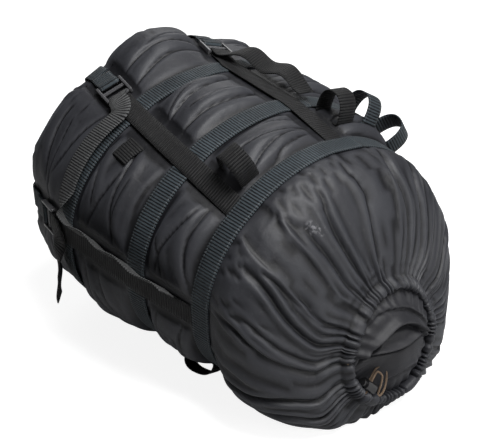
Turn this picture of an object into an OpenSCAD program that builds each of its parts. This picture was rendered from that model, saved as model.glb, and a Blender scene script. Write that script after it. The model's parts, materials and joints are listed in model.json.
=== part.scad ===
// Compression sack, stuffed full and lying on its side. All sizes in millimetres.
// +X runs along the sack to its mouth, +Z is up, the floor is z = 0, the origin is under its middle.

/* [Sack shape] */
// middle band along X, which puts the origin under the middle of the sack
middle_x = 10.6; // [5:0.1:15]
// middle plane of the sack along Y, with its hanging tail counted
axis_y = 9.9; // [0:0.1:15]
// middle band to rear band, along the sack
rear_gap = 111; // [100:1:120]
// middle band to front band, along the sack
front_gap = 86; // [80:1:95]
// rear band to the base shoulder seam
shoulder_len = 89; // [86:1:98]
// length of the base dome past its seam
dome_len = 46; // [40:1:60]
// half width at the base shoulder
shoulder_w = 188; // [180:1:196]
// half width at the rear band
rear_w = 206; // [195:1:215]
// half width at the middle band
middle_w = 189; // [180:1:200]
// half width at the front band
front_w = 167; // [160:1:175]
// top of the sack at the base shoulder
shoulder_h = 318; // [305:1:325]
// top of the sack at the rear band
rear_h = 307; // [295:1:320]
// top of the sack at the middle band
middle_h = 295; // [285:1:305]
// top of the sack at the front band
front_h = 275; // [265:1:285]
// how far the cloth bulges out between straps and bands
bulge_h = 11; // [9:0.5:14]
// how far straps and bands are pulled up off the floor
bed_lift = 8; // [8:0.5:11]
// the same at the base shoulder, under the ladder locks
shoulder_lift = 16; // [15:0.5:20]
// thickness of the padded cloth wall
fabric_t = 2; // [1.5:0.1:2.5]

/* [Webbing] */
// width of every strap, band and tail
web_w = 25; // [22:0.5:26]
// thickness of the webbing
web_t = 1.6; // [1.2:0.1:1.8]
// standing height of a grab loop
loop_h = 34; // [28:1:38]
// length of a grab loop between its two bar tacks
loop_l = 38; // [36:1:42]
// length of cloth that rises from a band to its bulge
puff_run = 14; // [12:0.5:16]
// end of a strap tucked under the front band, short of its edge
tuck_in = 3; // [2:0.5:4]
// length over which a strap settles after crossing a band
settle = 8; // [6:0.5:10]

/* [Ladder locks] */
// radius of the anchor bar and of the outer bar
bar_r = 2; // [1.8:0.1:2.2]
// width of a side rail
rail_w = 3.6; // [3:0.2:4]
// height of a side rail
rail_t = 6; // [5:0.2:6.4]
// anchor bar to outer bar
bar_gap = 27; // [25:0.5:29]
// outer bar to the edge of the rear band
lock_gap = 17; // [16:0.5:20]

/* [Mouth] */
// front band to the middle of the mouth
mouth_gap = 125; // [115:1:130]
// radius of the gathered mouth at its cord
mouth_r = 67; // [62:1:70]
// height of the middle of the mouth
mouth_z = 90; // [86:1:96]
// backward lean of the mouth in degrees
mouth_tilt = 11; // [6:1:14]
// width of the drawcord hem
hem_w = 20; // [18:1:24]
// thickness of the drawcord hem
hem_t = 6; // [5.5:0.5:7]
// radius of the drawcord
cord_r = 1.25; // [1:0.05:1.4]

/* [Cord lock] */
// outer radius of the barrel
barrel_r = 6.6; // [6.4:0.1:7.2]
// length of the barrel
barrel_len = 17; // [16:0.5:19]
// radius of the plunger
plunger_r = 4.5; // [4.3:0.1:4.7]
// how far the plunger presses in
plunger_travel = 3; // [2.5:0.1:3.2]

/* [Clearances] */
// gap between soft pieces
soft_gap = 0.3; // [0.25:0.05:0.4]
// radial running clearance
run_gap = 0.05; // [0.03:0.01:0.08]
// gap between two cloth pieces at a seam
seam_gap = 0.2; // [0.15:0.05:0.3]

/* [Hidden] */
$fn = 48;
rear_x = middle_x - rear_gap;
front_x = middle_x + front_gap;
shoulder_x = rear_x - shoulder_len;
mouth_x = front_x + mouth_gap;
rear_mid = (rear_x + middle_x) / 2;
front_mid = (front_x + middle_x) / 2;
// angle of each strap round the sack, from the top towards -Y, at the front and rear bands and shoulder
front_a = [-12.6, 41, 92, 143, 194, 246, 297];
rear_a = [-12, 30, 85, 136, 188, 240, 293];
shoulder_a = [-22, 28, 90, 140, 190, 241, 292];
strap_n = len(front_a);
side_gap = 1;
rail_v = web_w / 2 + side_gap;
bed_a = (rail_v + rail_w + 1.2) / (shoulder_h - shoulder_lift) * 2 * 180 / PI;
// columns of the cloth between two straps, and how far each bulges
col_f = [0, 0, 0.12, 0.32, 0.5, 0.68, 0.88];
col_w = [0, 0, 0.38, 0.82, 1, 0.82, 0.38];
col_n = len(col_w);
band_edge = web_w / 2 + 2.5;
band_gap = 2 * soft_gap;
over = band_gap + web_t + soft_gap;
puff_front = puff_run * front_gap / rear_gap;
lock_h = bar_r + web_t + 2 * soft_gap + 0.4;
anchor_x = rear_x - band_edge - bar_gap - lock_gap;
wrap_in = bar_r + 0.2;

function lerp(a, b, s) = a + (b - a) * s;
function unit(v) = v / norm(v);
function half_w(x) = lookup(x, [[shoulder_x, shoulder_w], [rear_x, rear_w], [middle_x, middle_w], [front_x, front_w]]);
function low(x) = lookup(x, [[shoulder_x, shoulder_lift], [rear_x, bed_lift], [front_x, bed_lift]]);
function high(x) = lookup(x, [[shoulder_x, shoulder_h], [rear_x, rear_h], [middle_x, middle_h], [front_x, front_h]]);
function flat_cos(t, p) = cos(t) >= 0 ? cos(t) : -pow(-cos(t), p);
function strap_a(k, x) = k == strap_n ? strap_a(0, x) + 360
    : lookup(x, [[shoulder_x, shoulder_a[k]], [rear_x, rear_a[k]], [front_x, front_a[k]]]);
// point of the strap bed at angle t, and the same pushed out by o and kept above the floor
function bed(x, t) = [x, axis_y - half_w(x) * sin(t),
    low(x) + (high(x) - low(x)) / 2 * (1 + flat_cos(t, 0.8))];
function out(x, t) = unit([0, -(high(x) - low(x)) / 2 * sin(t), half_w(x) * cos(t)]);
function floor_up(p) = [p[0], p[1], max(0, p[2])];
function skin(x, t, o) = floor_up(bed(x, t) + o * out(x, t));
function col_t(k, j, x) = j == 0 ? strap_a(k, x) - bed_a
    : lerp(strap_a(k, x) + bed_a, strap_a(k + 1, x) - bed_a, col_f[j]);
// strap frame: middle of the bed, across it and out of it
function bed_mid(k, x) = (bed(x, strap_a(k, x) - bed_a) + bed(x, strap_a(k, x) + bed_a)) / 2;
function bed_across(k, x) = unit(bed(x, strap_a(k, x) + bed_a) - bed(x, strap_a(k, x) - bed_a));
function bed_out(k, x) = let (e = bed_across(k, x)) [0, e[2], -e[1]];
function strap_p(k, x, v, o) = bed_mid(k, x) + v * bed_across(k, x) + o * bed_out(k, x);

// cloth stations along the tube and their bulge
tube_x = [
    shoulder_x + seam_gap, shoulder_x + 0.18 * shoulder_len, shoulder_x + 0.4 * shoulder_len,
    rear_x - band_edge - puff_run, rear_x - band_edge, rear_x, rear_x + band_edge, rear_x + band_edge + puff_run,
    rear_mid, middle_x - band_edge - puff_run, middle_x - band_edge, middle_x, middle_x + band_edge,
    middle_x + band_edge + puff_front, front_mid, front_x - band_edge - puff_front, front_x - band_edge,
    front_x - seam_gap];
tube_b = [0.9, 0.85, 0.65, 0.4, 0, 0, 0, 0.7, 1, 0.7, 0, 0, 0, 0.65, 1, 0.65, 0, 0];
function front_pad(x) = abs(x - front_x) <= band_edge + 0.1 ? web_t + soft_gap : 0;
function tube_off(i, j) = j < 2 ? 0 : max(bulge_h * tube_b[i] * col_w[j], front_pad(tube_x[i]));
function tube_p(i, k, j) = skin(tube_x[i], col_t(k, j, tube_x[i]), tube_off(i, j));
function tube_q(i, k, j, d) = tube_p(i, k, j) - d * out(tube_x[i], col_t(k, j, tube_x[i]));
tube_n = len(tube_x);

// base dome
dome_s = [0, 0.12, 0.3, 0.5, 0.68, 0.82, 0.92, 0.98];
dome_mid = (shoulder_h + shoulder_lift) / 2;
dome_hh = (shoulder_h - shoulder_lift) / 2;
function dome_f(s) = pow(1 - pow(s, 2.5), 0.4);
function dome(s, t, o) = [shoulder_x - (dome_len + o) * s, axis_y - (shoulder_w + o) * dome_f(s) * sin(t),
    dome_mid + (dome_hh + o) * dome_f(s) * flat_cos(t, 0.8)];
function dome_p(s, k, j, o) = dome(s, col_t(k, j, shoulder_x), bulge_h * 0.9 * col_w[j] * (1 - s) + o);

// gathered skirt from the front band to the hem: half width, half height and middle by share s
skirt_s = [0, 0.08, 0.125, 0.3, 0.5, 0.68, 0.83, 0.93, 1];
front_hh = (front_h - bed_lift) / 2;
hem_r = mouth_r + hem_t / 2;
skirt_r = hem_r + fabric_t + 6 * soft_gap;
skirt_end = mouth_x - 9;
function skirt_x(s) = lerp(front_x + seam_gap, skirt_end, s);
function skirt_w(s) = lerp(skirt_r, front_w, lookup(s, [[0, 1], [0.125, 1], [0.3, 1.02], [0.5, 0.95],
    [0.68, 0.79], [0.83, 0.55], [0.93, 0.31], [1, 0]]));
function skirt_h(s) = lerp(skirt_r, front_hh, lookup(s, [[0, 1], [0.125, 1], [0.3, 1.03], [0.5, 0.95],
    [0.68, 0.79], [0.83, 0.55], [0.93, 0.33], [1, 0]]));
function skirt_z(s) = lerp(mouth_z, bed_lift + front_hh, lookup(s, [[0, 1], [0.125, 1], [0.3, 0.88],
    [0.5, 0.72], [0.68, 0.52], [0.83, 0.26], [0.93, 0.06], [1, 0]]));
function skirt_raw(s, t, o) = let (hh = (skirt_h(s) + o) * flat_cos(t, lookup(s, [[0, 0.8], [0.125, 0.8], [0.3, 0.55],
        [0.6, 0.4], [0.93, 0.33], [1, 1]])),
        a = mouth_tilt * s * s)
    [skirt_x(s) - hh * sin(a), axis_y - (skirt_w(s) + o) * sin(t), skirt_z(s) + hh * cos(a)];
function skirt_off(s, j) = j < 2 ? 0 : s < 0.13 ? web_t + soft_gap : 4 * col_w[j] * (1 - s);
function skirt_p(s, k, j, d) = let (t = col_t(k, j, front_x))
    floor_up(skirt_raw(s, t, skirt_off(s, j))) - d * out(front_x, t);

// faces of a loft of m rings of n points, closed on itself or capped by a point at each end
function wall(m, n, last) = [for (i = [0 : last - 1]) for (j = [0 : n - 1])
    for (f = [[i * n + j, i * n + (j + 1) % n, ((i + 1) % m) * n + (j + 1) % n],
              [i * n + j, ((i + 1) % m) * n + (j + 1) % n, ((i + 1) % m) * n + j]]) f];
function flatten(r) = [for (a = r) for (p = a) p];
function mean(r) = [for (i = [0 : 2]) [for (p = r) p[i]] * [for (p = r) 1] / len(r)];
module loft_loop(r) {
    polyhedron(flatten(r), wall(len(r), len(r[0]), len(r)), convexity = 6);
}
module loft_caps(r) {
    m = len(r);
    n = len(r[0]);
    pts = concat(flatten(r), [mean(r[0]), mean(r[m - 1])]);
    ends = [for (j = [0 : n - 1]) for (f = [[m * n, (j + 1) % n, j],
        [m * n + 1, (m - 1) * n + j, (m - 1) * n + (j + 1) % n]]) f];
    polyhedron(pts, concat(wall(m, n, m - 1), ends), convexity = 6);
}
// webbing through stations [middle, across, out], laid from the middle outwards by its thickness
function web_ring(s) = let (a = s[1] * web_w / 2, u = s[2] * web_t)
    [s[0] - a, s[0] - a + u, s[0] + a + u, s[0] + a];
module web(stations) {
    loft_caps([for (s = stations) web_ring(s)]);
}

cloth = [0.17, 0.17, 0.19];
webbing = [0.09, 0.09, 0.1];
band_tone = [0.13, 0.16, 0.18];
plastic = [0.05, 0.05, 0.055];
tan_cord = [0.42, 0.3, 0.19];

module sack_tube() {
    color(cloth) loft_loop([for (k = [0 : strap_n - 1]) for (j = [0 : col_n - 1]) concat(
        [for (i = [0 : tube_n - 1]) tube_p(i, k, j)],
        [for (i = [tube_n - 1 : -1 : 0]) tube_q(i, k, j, fabric_t)])]);
}

module base_cap() {
    color(cloth) loft_caps(concat(
        [for (i = [len(dome_s) - 1 : -1 : 0]) dome_ring(dome_s[i], -fabric_t)],
        [for (i = [0 : len(dome_s) - 1]) dome_ring(dome_s[i], 0)]));
}
function dome_ring(s, o) = [for (k = [0 : strap_n - 1]) for (j = [0 : col_n - 1])
    dome_p(s, k, j, o) - [soft_gap, 0, 0]];

module mouth_skirt() {
    color(cloth) loft_loop([for (k = [0 : strap_n - 1]) for (j = [0 : col_n - 1]) concat(
        [for (s = skirt_s) skirt_p(s, k, j, 0)],
        [for (i = [len(skirt_s) - 1 : -1 : 0]) skirt_p(skirt_s[i], k, j, fabric_t)])]);
}

// the stuffed load, clear of the cloth all round
module packed_fill() {
    d = fabric_t + 2.5;
    dome_in = [for (i = [len(dome_s) - 2 : -1 : 1]) [for (k = [0 : strap_n - 1]) for (j = [0 : col_n - 1])
        dome_p(dome_s[i], k, j, -d)]];
    tube_in = [for (i = [0 : tube_n - 1]) [for (k = [0 : strap_n - 1]) for (j = [0 : col_n - 1])
        tube_q(i, k, j, d)]];
    skirt_in = [for (i = [2 : len(skirt_s) - 3]) [for (k = [0 : strap_n - 1]) for (j = [0 : col_n - 1])
        skirt_p(skirt_s[i], k, j, d + 1)]];
    color([0.3, 0.3, 0.32]) loft_caps(concat(dome_in, tube_in, skirt_in));
}

module band(x, o) {
    loft_loop([for (k = [0 : strap_n - 1]) for (j = [0 : col_n - 1]) concat(
        [for (e = [-1, 0, 1]) band_p(x + e * web_w / 2, k, j, o + web_t)],
        [for (e = [1, 0, -1]) band_p(x + e * web_w / 2, k, j, o)])]);
}
function band_p(x, k, j, o) = let (t = col_t(k, j, x)) bed(x, t) + o * out(x, t);
module rear_band() {
    color(band_tone) band(rear_x, band_gap);
}
module middle_band() {
    color(band_tone) band(middle_x, band_gap);
}
module front_band() {
    color(band_tone) band(front_x, over);
}

// tight run of a compression strap, from under the front band to the outer bar of its ladder lock
run_x = [front_x + web_w / 2 - tuck_in, front_x, front_x - web_w / 2, front_x - web_w / 2 - puff_run,
    middle_x + web_w / 2 + settle, middle_x, middle_x - web_w / 2 - settle, rear_mid, rear_x + web_w / 2 + settle,
    rear_x, rear_x - web_w / 2 - 1];
function run_off(x) = lookup(x, [[middle_x + web_w / 2 + settle, over], [front_x - web_w / 2, soft_gap]]);
run_end_gap = 4 * soft_gap;
module strap(k) {
    color(webbing) web(concat(
        [for (x = run_x) [strap_p(k, x, 0, run_off(x)), bed_across(k, x), bed_out(k, x)]],
        [[lock_p(k, bar_gap + run_end_gap, 0, -wrap_in - web_t), -lock_v(k), lock_w(k)]]));
}

// ladder lock frame: u runs up the strap from the anchor bar, v across it, w out of it
function lock_rise(k) = let (s = (bed_mid(k, anchor_x + bar_gap) - bed_mid(k, anchor_x)) * bed_out(k, anchor_x) / bar_gap)
    lock_h * sqrt(1 + s * s);
function lock_o(k) = strap_p(k, anchor_x, 0, lock_rise(k));
function lock_u(k) = unit(strap_p(k, anchor_x + bar_gap, 0, lock_rise(k)) - lock_o(k));
function lock_w(k) = unit(cross(bed_across(k, anchor_x + bar_gap / 2), lock_u(k)));
function lock_v(k) = cross(lock_w(k), lock_u(k));
function lock_p(k, u, v, w) = lock_o(k) + u * lock_u(k) + v * lock_v(k) + w * lock_w(k);
module at_lock(k) {
    o = lock_o(k);
    u = lock_u(k);
    v = lock_v(k);
    w = lock_w(k);
    multmatrix([[u[0], v[0], w[0], o[0]], [u[1], v[1], w[1], o[1]], [u[2], v[2], w[2], o[2]]]) children();
}
module bar(u, r) {
    translate([u, 0, 0]) rotate([90, 0, 0]) cylinder(r = r, h = 2 * rail_v + 1, center = true);
}
module rail() {
    rotate([90, 0, 0]) linear_extrude(rail_w) {
        translate([0, -rail_t / 2]) square([bar_gap, rail_t]);
        circle(r = rail_t / 2);
        translate([bar_gap, 0]) circle(r = rail_t / 2);
    }
}
module lock(k) {
    color(plastic) at_lock(k) {
        translate([0, -rail_v, 0]) rail();
        translate([0, rail_v + rail_w, 0]) rail();
        bar(0, bar_r);
        bar(bar_gap, bar_r);
        translate([bar_gap * 0.46 - 2.5, -rail_v - 0.5, -1.5]) cube([5, 2 * rail_v + 1, 3]);
    }
}

// short stub of webbing round the anchor bar, sewn flat over the base shoulder
stub_r = bar_r + run_gap;
stub_end = anchor_x - shoulder_x + 3;
module stub(k) {
    color(band_tone) union() {
        at_lock(k) rotate([90, 0, 0]) linear_extrude(web_w, center = true) difference() {
            union() {
                circle(r = stub_r + web_t);
                polygon([[0, stub_r + web_t], [0, -stub_r - web_t], [-stub_end, -stub_r - web_t],
                    [-stub_end, web_t - stub_r], [-13, web_t - stub_r]]);
            }
            circle(r = stub_r);
        }
        web([for (s = [0, 0.15, 0.3, 0.42, 0.52, 0.6]) stub_on_dome(k, s)]);
    }
}
function stub_on_dome(k, s) = let (a = strap_a(k, shoulder_x), c = dome(s, a, lock_h - stub_r - web_t),
        c2 = dome(s, a, lock_h - stub_r))
    [s == 0 ? c + [3, 0, 0] : c, bed_across(k, shoulder_x), unit(c2 - c)];

// free tail: round the outer bar, then along the path of its own strap
function wrap_turn(k) = [for (a = [-90 : 22.5 : 90]) let (c = cos(a), s = sin(a))
    [lock_p(k, bar_gap - wrap_in * c, 0, wrap_in * s), lock_v(k), -c * lock_u(k) + s * lock_w(k)]];
function tail_st(p, a, o) = [p, unit(a), unit(o)];
function on_skin(x, t, o) = bed(x, t) + o * out(x, t);
function round_skin(x, t) = let (d = bed(x, t + 0.5) - bed(x, t - 0.5)) unit([0, d[1], d[2]]);

// a tail that lies back along its strap, waving by h
function flat_tail(k, x_end, h) = let (x0 = anchor_x + bar_gap + 9, n = 22) [for (i = [0 : n])
    let (x = lerp(x0, x_end, i / n), o = over + web_t + 2 * soft_gap + h * (1 - cos(i * 95)) / 2 + 1.4 * exp(-i / 2))
    tail_st(strap_p(k, x, 0, o), -bed_across(k, x), bed_out(k, x))];

// the top tail leans off its strap in two standing waves
function wavy_tail(k) = let (x0 = anchor_x + bar_gap + 9, x_end = middle_x + 3, n = 26) [for (i = [0 : n])
    let (s = i / n, x = lerp(x0, x_end, s), o = 2 * over + web_t + 15 * pow(sin(360 * s), 2) + 9 * s,
        e = bed_across(k, x), u = bed_out(k, x), a = unit(-e + 0.5 * sin(180 * s) * u))
    tail_st(strap_p(k, x, -19 * sin(90 * min(1, 2.4 * s)), o + 6 * sin(180 * s)), a, u - (u * a) * a)];

// the front upper tail turns down over the rear band and is tucked along the strap below
turn_r = web_w / 2 + 4.5;
function low_tail(k) = let (t0 = strap_a(k, rear_x), t1 = strap_a(k + 1, rear_x) - bed_a,
        x0 = anchor_x + bar_gap + 7, xm = x0 + turn_r + 5, o = lock_h + wrap_in + 0.6,
        dt = turn_r / rear_w * 180 / PI, ta = t0 + dt + 1, tb = t1 - 11, up = web_w * 0.35) concat(
    [for (a = [0 : 15 : 90]) let (x = x0 + (turn_r + 5) * sin(a), t = t0 + 1 + dt * (1 - cos(a)))
        tail_st(on_skin(x, t, o), sin(a) * [1, 0, 0] - cos(a) * round_skin(x, t), out(x, t))],
    [for (i = [1 : 9]) let (t = lerp(ta, tb, i / 9), x = xm - 4 * sin(i * 20))
        tail_st(on_skin(x, t, o), [1, 0, 0], out(x, t))],
    [for (i = [1 : 7]) let (s = i / 7, t = lerp(tb, t1 - 1, sin(90 * s)), x = xm + 16 * (1 - cos(90 * s)),
            a = unit(lerp([1, 0, 0], lean(x, t), s)), u = lerp(out(x, t), round_skin(x, t), s))
        tail_st(on_skin(x, t, o + up * s), a, u - (u * a) * a)],
    [for (i = [1 : 12]) let (s = i / 12, x = lerp(xm + 16, front_x - band_edge - 14, s),
            t = strap_a(k + 1, x) - bed_a - 1 + 0.8 * sin(i * 90), a = lean(x, t), u = round_skin(x, t))
        tail_st(on_skin(x, t, o + up), a, u - (u * a) * a)]);
function lean(x, t) = unit(out(x, t) - 0.7 * round_skin(x, t));

// the front side tail turns down and hangs free
hang_len = 72;
function hang_tail(k) = let (p = lock_p(k, bar_gap + 9, 0, wrap_in), o = bed_out(k, rear_x)) concat(
    [for (a = [0 : 15 : 90]) tail_st(p + turn_r * [sin(a), 0, cos(a) - 1] + 5 * sin(a) * o,
        sin(a) * [1, 0, 0] + cos(a) * lock_v(k), o)],
    [for (i = [1 : 10]) let (s = i / 10, a = 42 * min(1, 2 * s))
        tail_st(p + turn_r * [1, 0, -1] - [0, 0, hang_len * s] + (5 + 7 * sin(110 * s) + 2 * sin(480 * s)) * o,
            [cos(a), -sin(a), 0], [-sin(a), -cos(a), 0])]);

module tail(k) {
    color(webbing) web(concat(wrap_turn(k), k == 1 ? low_tail(k) : k == 2 ? hang_tail(k)
        : k == 0 ? wavy_tail(k) : flat_tail(k, rear_mid + 10, k == 3 || k == 4 ? 0 : 2)));
}

// point of the tube wall on column j of sector k, and the way that column runs along the sack
function wall_i(x) = max([for (i = [0 : tube_n - 2]) if (tube_x[i] <= x) i]);
function wall_at(x, k, j) = let (i = wall_i(x))
    lerp(tube_p(i, k, j), tube_p(i + 1, k, j), (x - tube_x[i]) / (tube_x[i + 1] - tube_x[i]));
function wall_run(x, k, j) = let (i = wall_i(x)) unit(tube_p(i + 1, k, j) - tube_p(i, k, j));
function square_to(v, d) = unit(v - (v * d) * d);

function wall_next(x, k, j) = j == col_n ? wall_at(x, k + 1, 0) : wall_at(x, k, j);

// grab loop: an arch of webbing along the sack, its two ends bar tacked to the cloth beside a band
tack_r = 1.8;
// place of each loop: behind the front band (1) or ahead of the middle band (0), sector and column of the cloth
loop_at = [[0, 6, 6, 6], [1, 0, 6, 3], [1, 2, 6, 3], [0, 6, 4, 3], [1, 6, 2, 3]];
function loop_x(f) = f == 1 ? front_x - band_edge - tack_r - loop_l / 2 : middle_x + band_edge + tack_r + loop_l / 2;
module loop(i) {
    x = loop_x(loop_at[i][0]);
    k = loop_at[i][1];
    j = loop_at[i][2];
    a = wall_at(x - loop_l / 2, k, j);
    b = wall_at(x + loop_l / 2, k, j);
    d = unit(b - a);
    z = unit(cross(wall_next(x, k, j + 1) - wall_at(x, k, j - 1), d));
    y = cross(z, d);
    o = (a + b) / 2 + (tack_r + loop_at[i][3] * soft_gap) * z;
    n = 30;
    color(webbing) multmatrix([[d[0], y[0], z[0], o[0]], [d[1], y[1], z[1], o[1]], [d[2], y[2], z[2], o[2]]]) union() {
        translate([-loop_l / 2, 0, 0]) rotate([90, 0, 0]) cylinder(r = tack_r, h = web_w, center = true);
        translate([loop_l / 2, 0, 0]) rotate([90, 0, 0]) cylinder(r = tack_r, h = web_w, center = true);
        rotate([90, 0, 0]) linear_extrude(web_w, center = true) difference() {
            polygon([for (i = [0 : n]) arch(i / n, 0)]);
            polygon([for (i = [0 : n]) arch(i / n, web_t)]);
        }
    }
}
// outline of the standing arch, inset by d
function arch(s, d) = let (a = 180 * s, c = cos(a))
    [-(loop_l / 2 + web_t / 2 - d) * sign(c) * pow(abs(c), 0.8), (loop_h - tack_r - d) * pow(sin(a), 0.75)];

// the mouth frame has its axis out of the mouth, x down and y across
module at_mouth() {
    translate([mouth_x, axis_y, mouth_z]) rotate([0, 90 - mouth_tilt, 0]) children();
}
channel_r = cord_r + 0.35;
channel_z = -hem_w / 5;
lock_a = -48;
lock_at = mouth_r - 13;
module drawcord_hem() {
    color(cloth) at_mouth() difference() {
        rotate_extrude() difference() {
            translate([mouth_r - hem_t / 2, -hem_w]) square([hem_t, hem_w]);
            translate([mouth_r, channel_z]) circle(r = channel_r);
        }
        rotate([0, 0, lock_a]) translate([mouth_r - hem_t / 2, 0, channel_z])
            cube([hem_t + 1, 2 * channel_r, 4 * cord_r + 1.2], center = true);
    }
}
module drawcord() {
    color(tan_cord) at_mouth() translate([0, 0, channel_z]) rotate_extrude() translate([mouth_r, 0]) circle(r = cord_r);
}
flap_r = mouth_r - hem_t / 2 - soft_gap;
flap_rise = 14;
flap_s = (flap_r * flap_r + flap_rise * flap_rise) / (2 * flap_rise);
module storm_flap() {
    color(cloth) at_mouth() translate([0, 0, 1 - hem_w]) intersection() {
        translate([0, 0, flap_rise - flap_s]) difference() {
            sphere(r = flap_s, $fn = 96);
            sphere(r = flap_s - fabric_t, $fn = 96);
        }
        cylinder(r = flap_r, h = flap_rise + 1);
    }
}

// cord lock on the two free ends, its barrel across the cords
lock_z = channel_z;
plunger_out = 5;
bore_r = plunger_r + run_gap;
bore_len = barrel_len - 2;
hole_l = 4 * cord_r + 1.2;
hole_w = 2 * cord_r + 0.9;
module at_cord_lock() {
    at_mouth() rotate([0, 0, lock_a]) translate([lock_at, 0, lock_z]) rotate([90, 0, 0]) children();
}
module cord_lock_barrel() {
    color(plastic) at_cord_lock() difference() {
        translate([0, 0, -barrel_len / 2]) cylinder(r = barrel_r, h = barrel_len);
        translate([0, 0, barrel_len / 2 - bore_len]) cylinder(r = bore_r, h = bore_len + 1);
        cube([2 * barrel_r + 1, hole_l, hole_w], center = true);
    }
}
plunger_len = barrel_len / 2 + plunger_out + hole_w / 2 + 1;
plunger_low = barrel_len / 2 + plunger_out - plunger_len;
module cord_lock_plunger() {
    color(plastic) at_cord_lock() difference() {
        translate([0, 0, plunger_low]) cylinder(r = plunger_r, h = barrel_len / 2 + plunger_out - plunger_low);
        translate([0, 0, plunger_travel / 2])
            cube([2 * plunger_r + 1, hole_l, hole_w + plunger_travel], center = true);
    }
}
spring_low = barrel_len / 2 - bore_len + 0.1;
spring_high = plunger_low - 0.1;
wire_r = 0.35;
module cord_lock_spring() {
    n = 60;
    turns = 3;
    r = plunger_r - 1.2;
    color([0.7, 0.7, 0.72]) at_cord_lock() loft_caps([for (i = [0 : n]) let (a = 360 * turns * i / n,
            z = lerp(spring_low + wire_r, spring_high - wire_r, i / n))
        [for (b = [0 : 60 : 300]) [(r + wire_r * cos(b)) * cos(a), (r + wire_r * cos(b)) * sin(a), z - wire_r * sin(b)]]]);
}

// free end of the drawcord: out of the hem, through the lock, round a tied loop and back
cord_y = cord_r + 0.15;
cord_in = mouth_r - cord_r - 0.05;
loop_pts = [[cord_in, 0, 0], [lock_at, 0, 0], [lock_at - 20, 0, 0], [lock_at - 27, 6, 1.5], [lock_at - 24, 16, 3],
    [lock_at - 10, 24, 4], [lock_at, 24, 4.2], [lock_at + 3, 19, 4.2], [lock_at - 8, 15, 4.8], [lock_at - 17, 9, 5.5],
    [lock_at - 19, 3, 3.2], [lock_at - 16, 0, 2 * cord_y], [lock_at, 0, 2 * cord_y], [cord_in, 0, 2 * cord_y]];
function spline(p, i, s) = let (a = p[max(0, i - 1)], b = p[i], c = p[i + 1], d = p[min(len(p) - 1, i + 2)])
    0.5 * (2 * b + (c - a) * s + (2 * a - 5 * b + 4 * c - d) * s * s + (3 * b - a - 3 * c + d) * s * s * s);
module drawcord_loop() {
    n = 5;
    path = [for (i = [0 : len(loop_pts) - 2]) for (s = [0 : n - 1]) spline(loop_pts, i, s / n)];
    pts = concat(path, [loop_pts[len(loop_pts) - 1]]);
    m = len(pts);
    color(tan_cord) at_mouth() rotate([0, 0, lock_a]) translate([0, 0, channel_z - cord_y])
        loft_caps([for (i = [0 : m - 1]) let (d = unit(pts[min(m - 1, i + 1)] - pts[max(0, i - 1)]),
            a = unit(cross(d, [0.05, 0.1, 1])), b = cross(d, a))
            [for (q = [0 : 45 : 315]) pts[i] + cord_r * (cos(q) * a + sin(q) * b)]]);
}

module compression_strap_1() { strap(0); }
module compression_strap_2() { strap(1); }
module compression_strap_3() { strap(2); }
module compression_strap_4() { strap(3); }
module compression_strap_5() { strap(4); }
module compression_strap_6() { strap(5); }
module compression_strap_7() { strap(6); }
module strap_tail_1() { tail(0); }
module strap_tail_2() { tail(1); }
module strap_tail_3() { tail(2); }
module strap_tail_4() { tail(3); }
module strap_tail_5() { tail(4); }
module strap_tail_6() { tail(5); }
module strap_tail_7() { tail(6); }
module ladder_lock_1() { lock(0); }
module ladder_lock_2() { lock(1); }
module ladder_lock_3() { lock(2); }
module ladder_lock_4() { lock(3); }
module ladder_lock_5() { lock(4); }
module ladder_lock_6() { lock(5); }
module ladder_lock_7() { lock(6); }
module lock_stub_1() { stub(0); }
module lock_stub_2() { stub(1); }
module lock_stub_3() { stub(2); }
module lock_stub_4() { stub(3); }
module lock_stub_5() { stub(4); }
module lock_stub_6() { stub(5); }
module lock_stub_7() { stub(6); }
module grab_loop_1() { loop(0); }
module grab_loop_2() { loop(1); }
module grab_loop_3() { loop(2); }
module grab_loop_4() { loop(3); }
module grab_loop_5() { loop(4); }

// short lash tab lying on the cloth beside the front upper strap, ahead of the rear band
module lash_tab() {
    x = rear_x + band_edge + puff_run + web_w / 2 + 1;
    color(webbing) web([for (f = [0 : 0.25 : 1.5]) let (j = f < 1 ? 1 : 2, g = f - j + 1,
            a = wall_run(x, 1, j), u = square_to(out(x, col_t(1, j, x)), a))
        tail_st(lerp(wall_at(x, 1, j), wall_at(x, 1, j + 1), g) + (soft_gap + 1.2 * f) * u, a, u)]);
}

sack_tube();
base_cap();
mouth_skirt();
packed_fill();
rear_band();
middle_band();
front_band();
compression_strap_1();
compression_strap_2();
compression_strap_3();
compression_strap_4();
compression_strap_5();
compression_strap_6();
compression_strap_7();
strap_tail_1();
strap_tail_2();
strap_tail_3();
strap_tail_4();
strap_tail_5();
strap_tail_6();
strap_tail_7();
ladder_lock_1();
ladder_lock_2();
ladder_lock_3();
ladder_lock_4();
ladder_lock_5();
ladder_lock_6();
ladder_lock_7();
lock_stub_1();
lock_stub_2();
lock_stub_3();
lock_stub_4();
lock_stub_5();
lock_stub_6();
lock_stub_7();
grab_loop_1();
grab_loop_2();
grab_loop_3();
grab_loop_4();
grab_loop_5();
lash_tab();
drawcord_hem();
drawcord();
drawcord_loop();
storm_flap();
cord_lock_barrel();
cord_lock_plunger();
cord_lock_spring();
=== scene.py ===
import json
import math

import bmesh
import bpy
import numpy as np
from mathutils import Matrix, Vector

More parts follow.
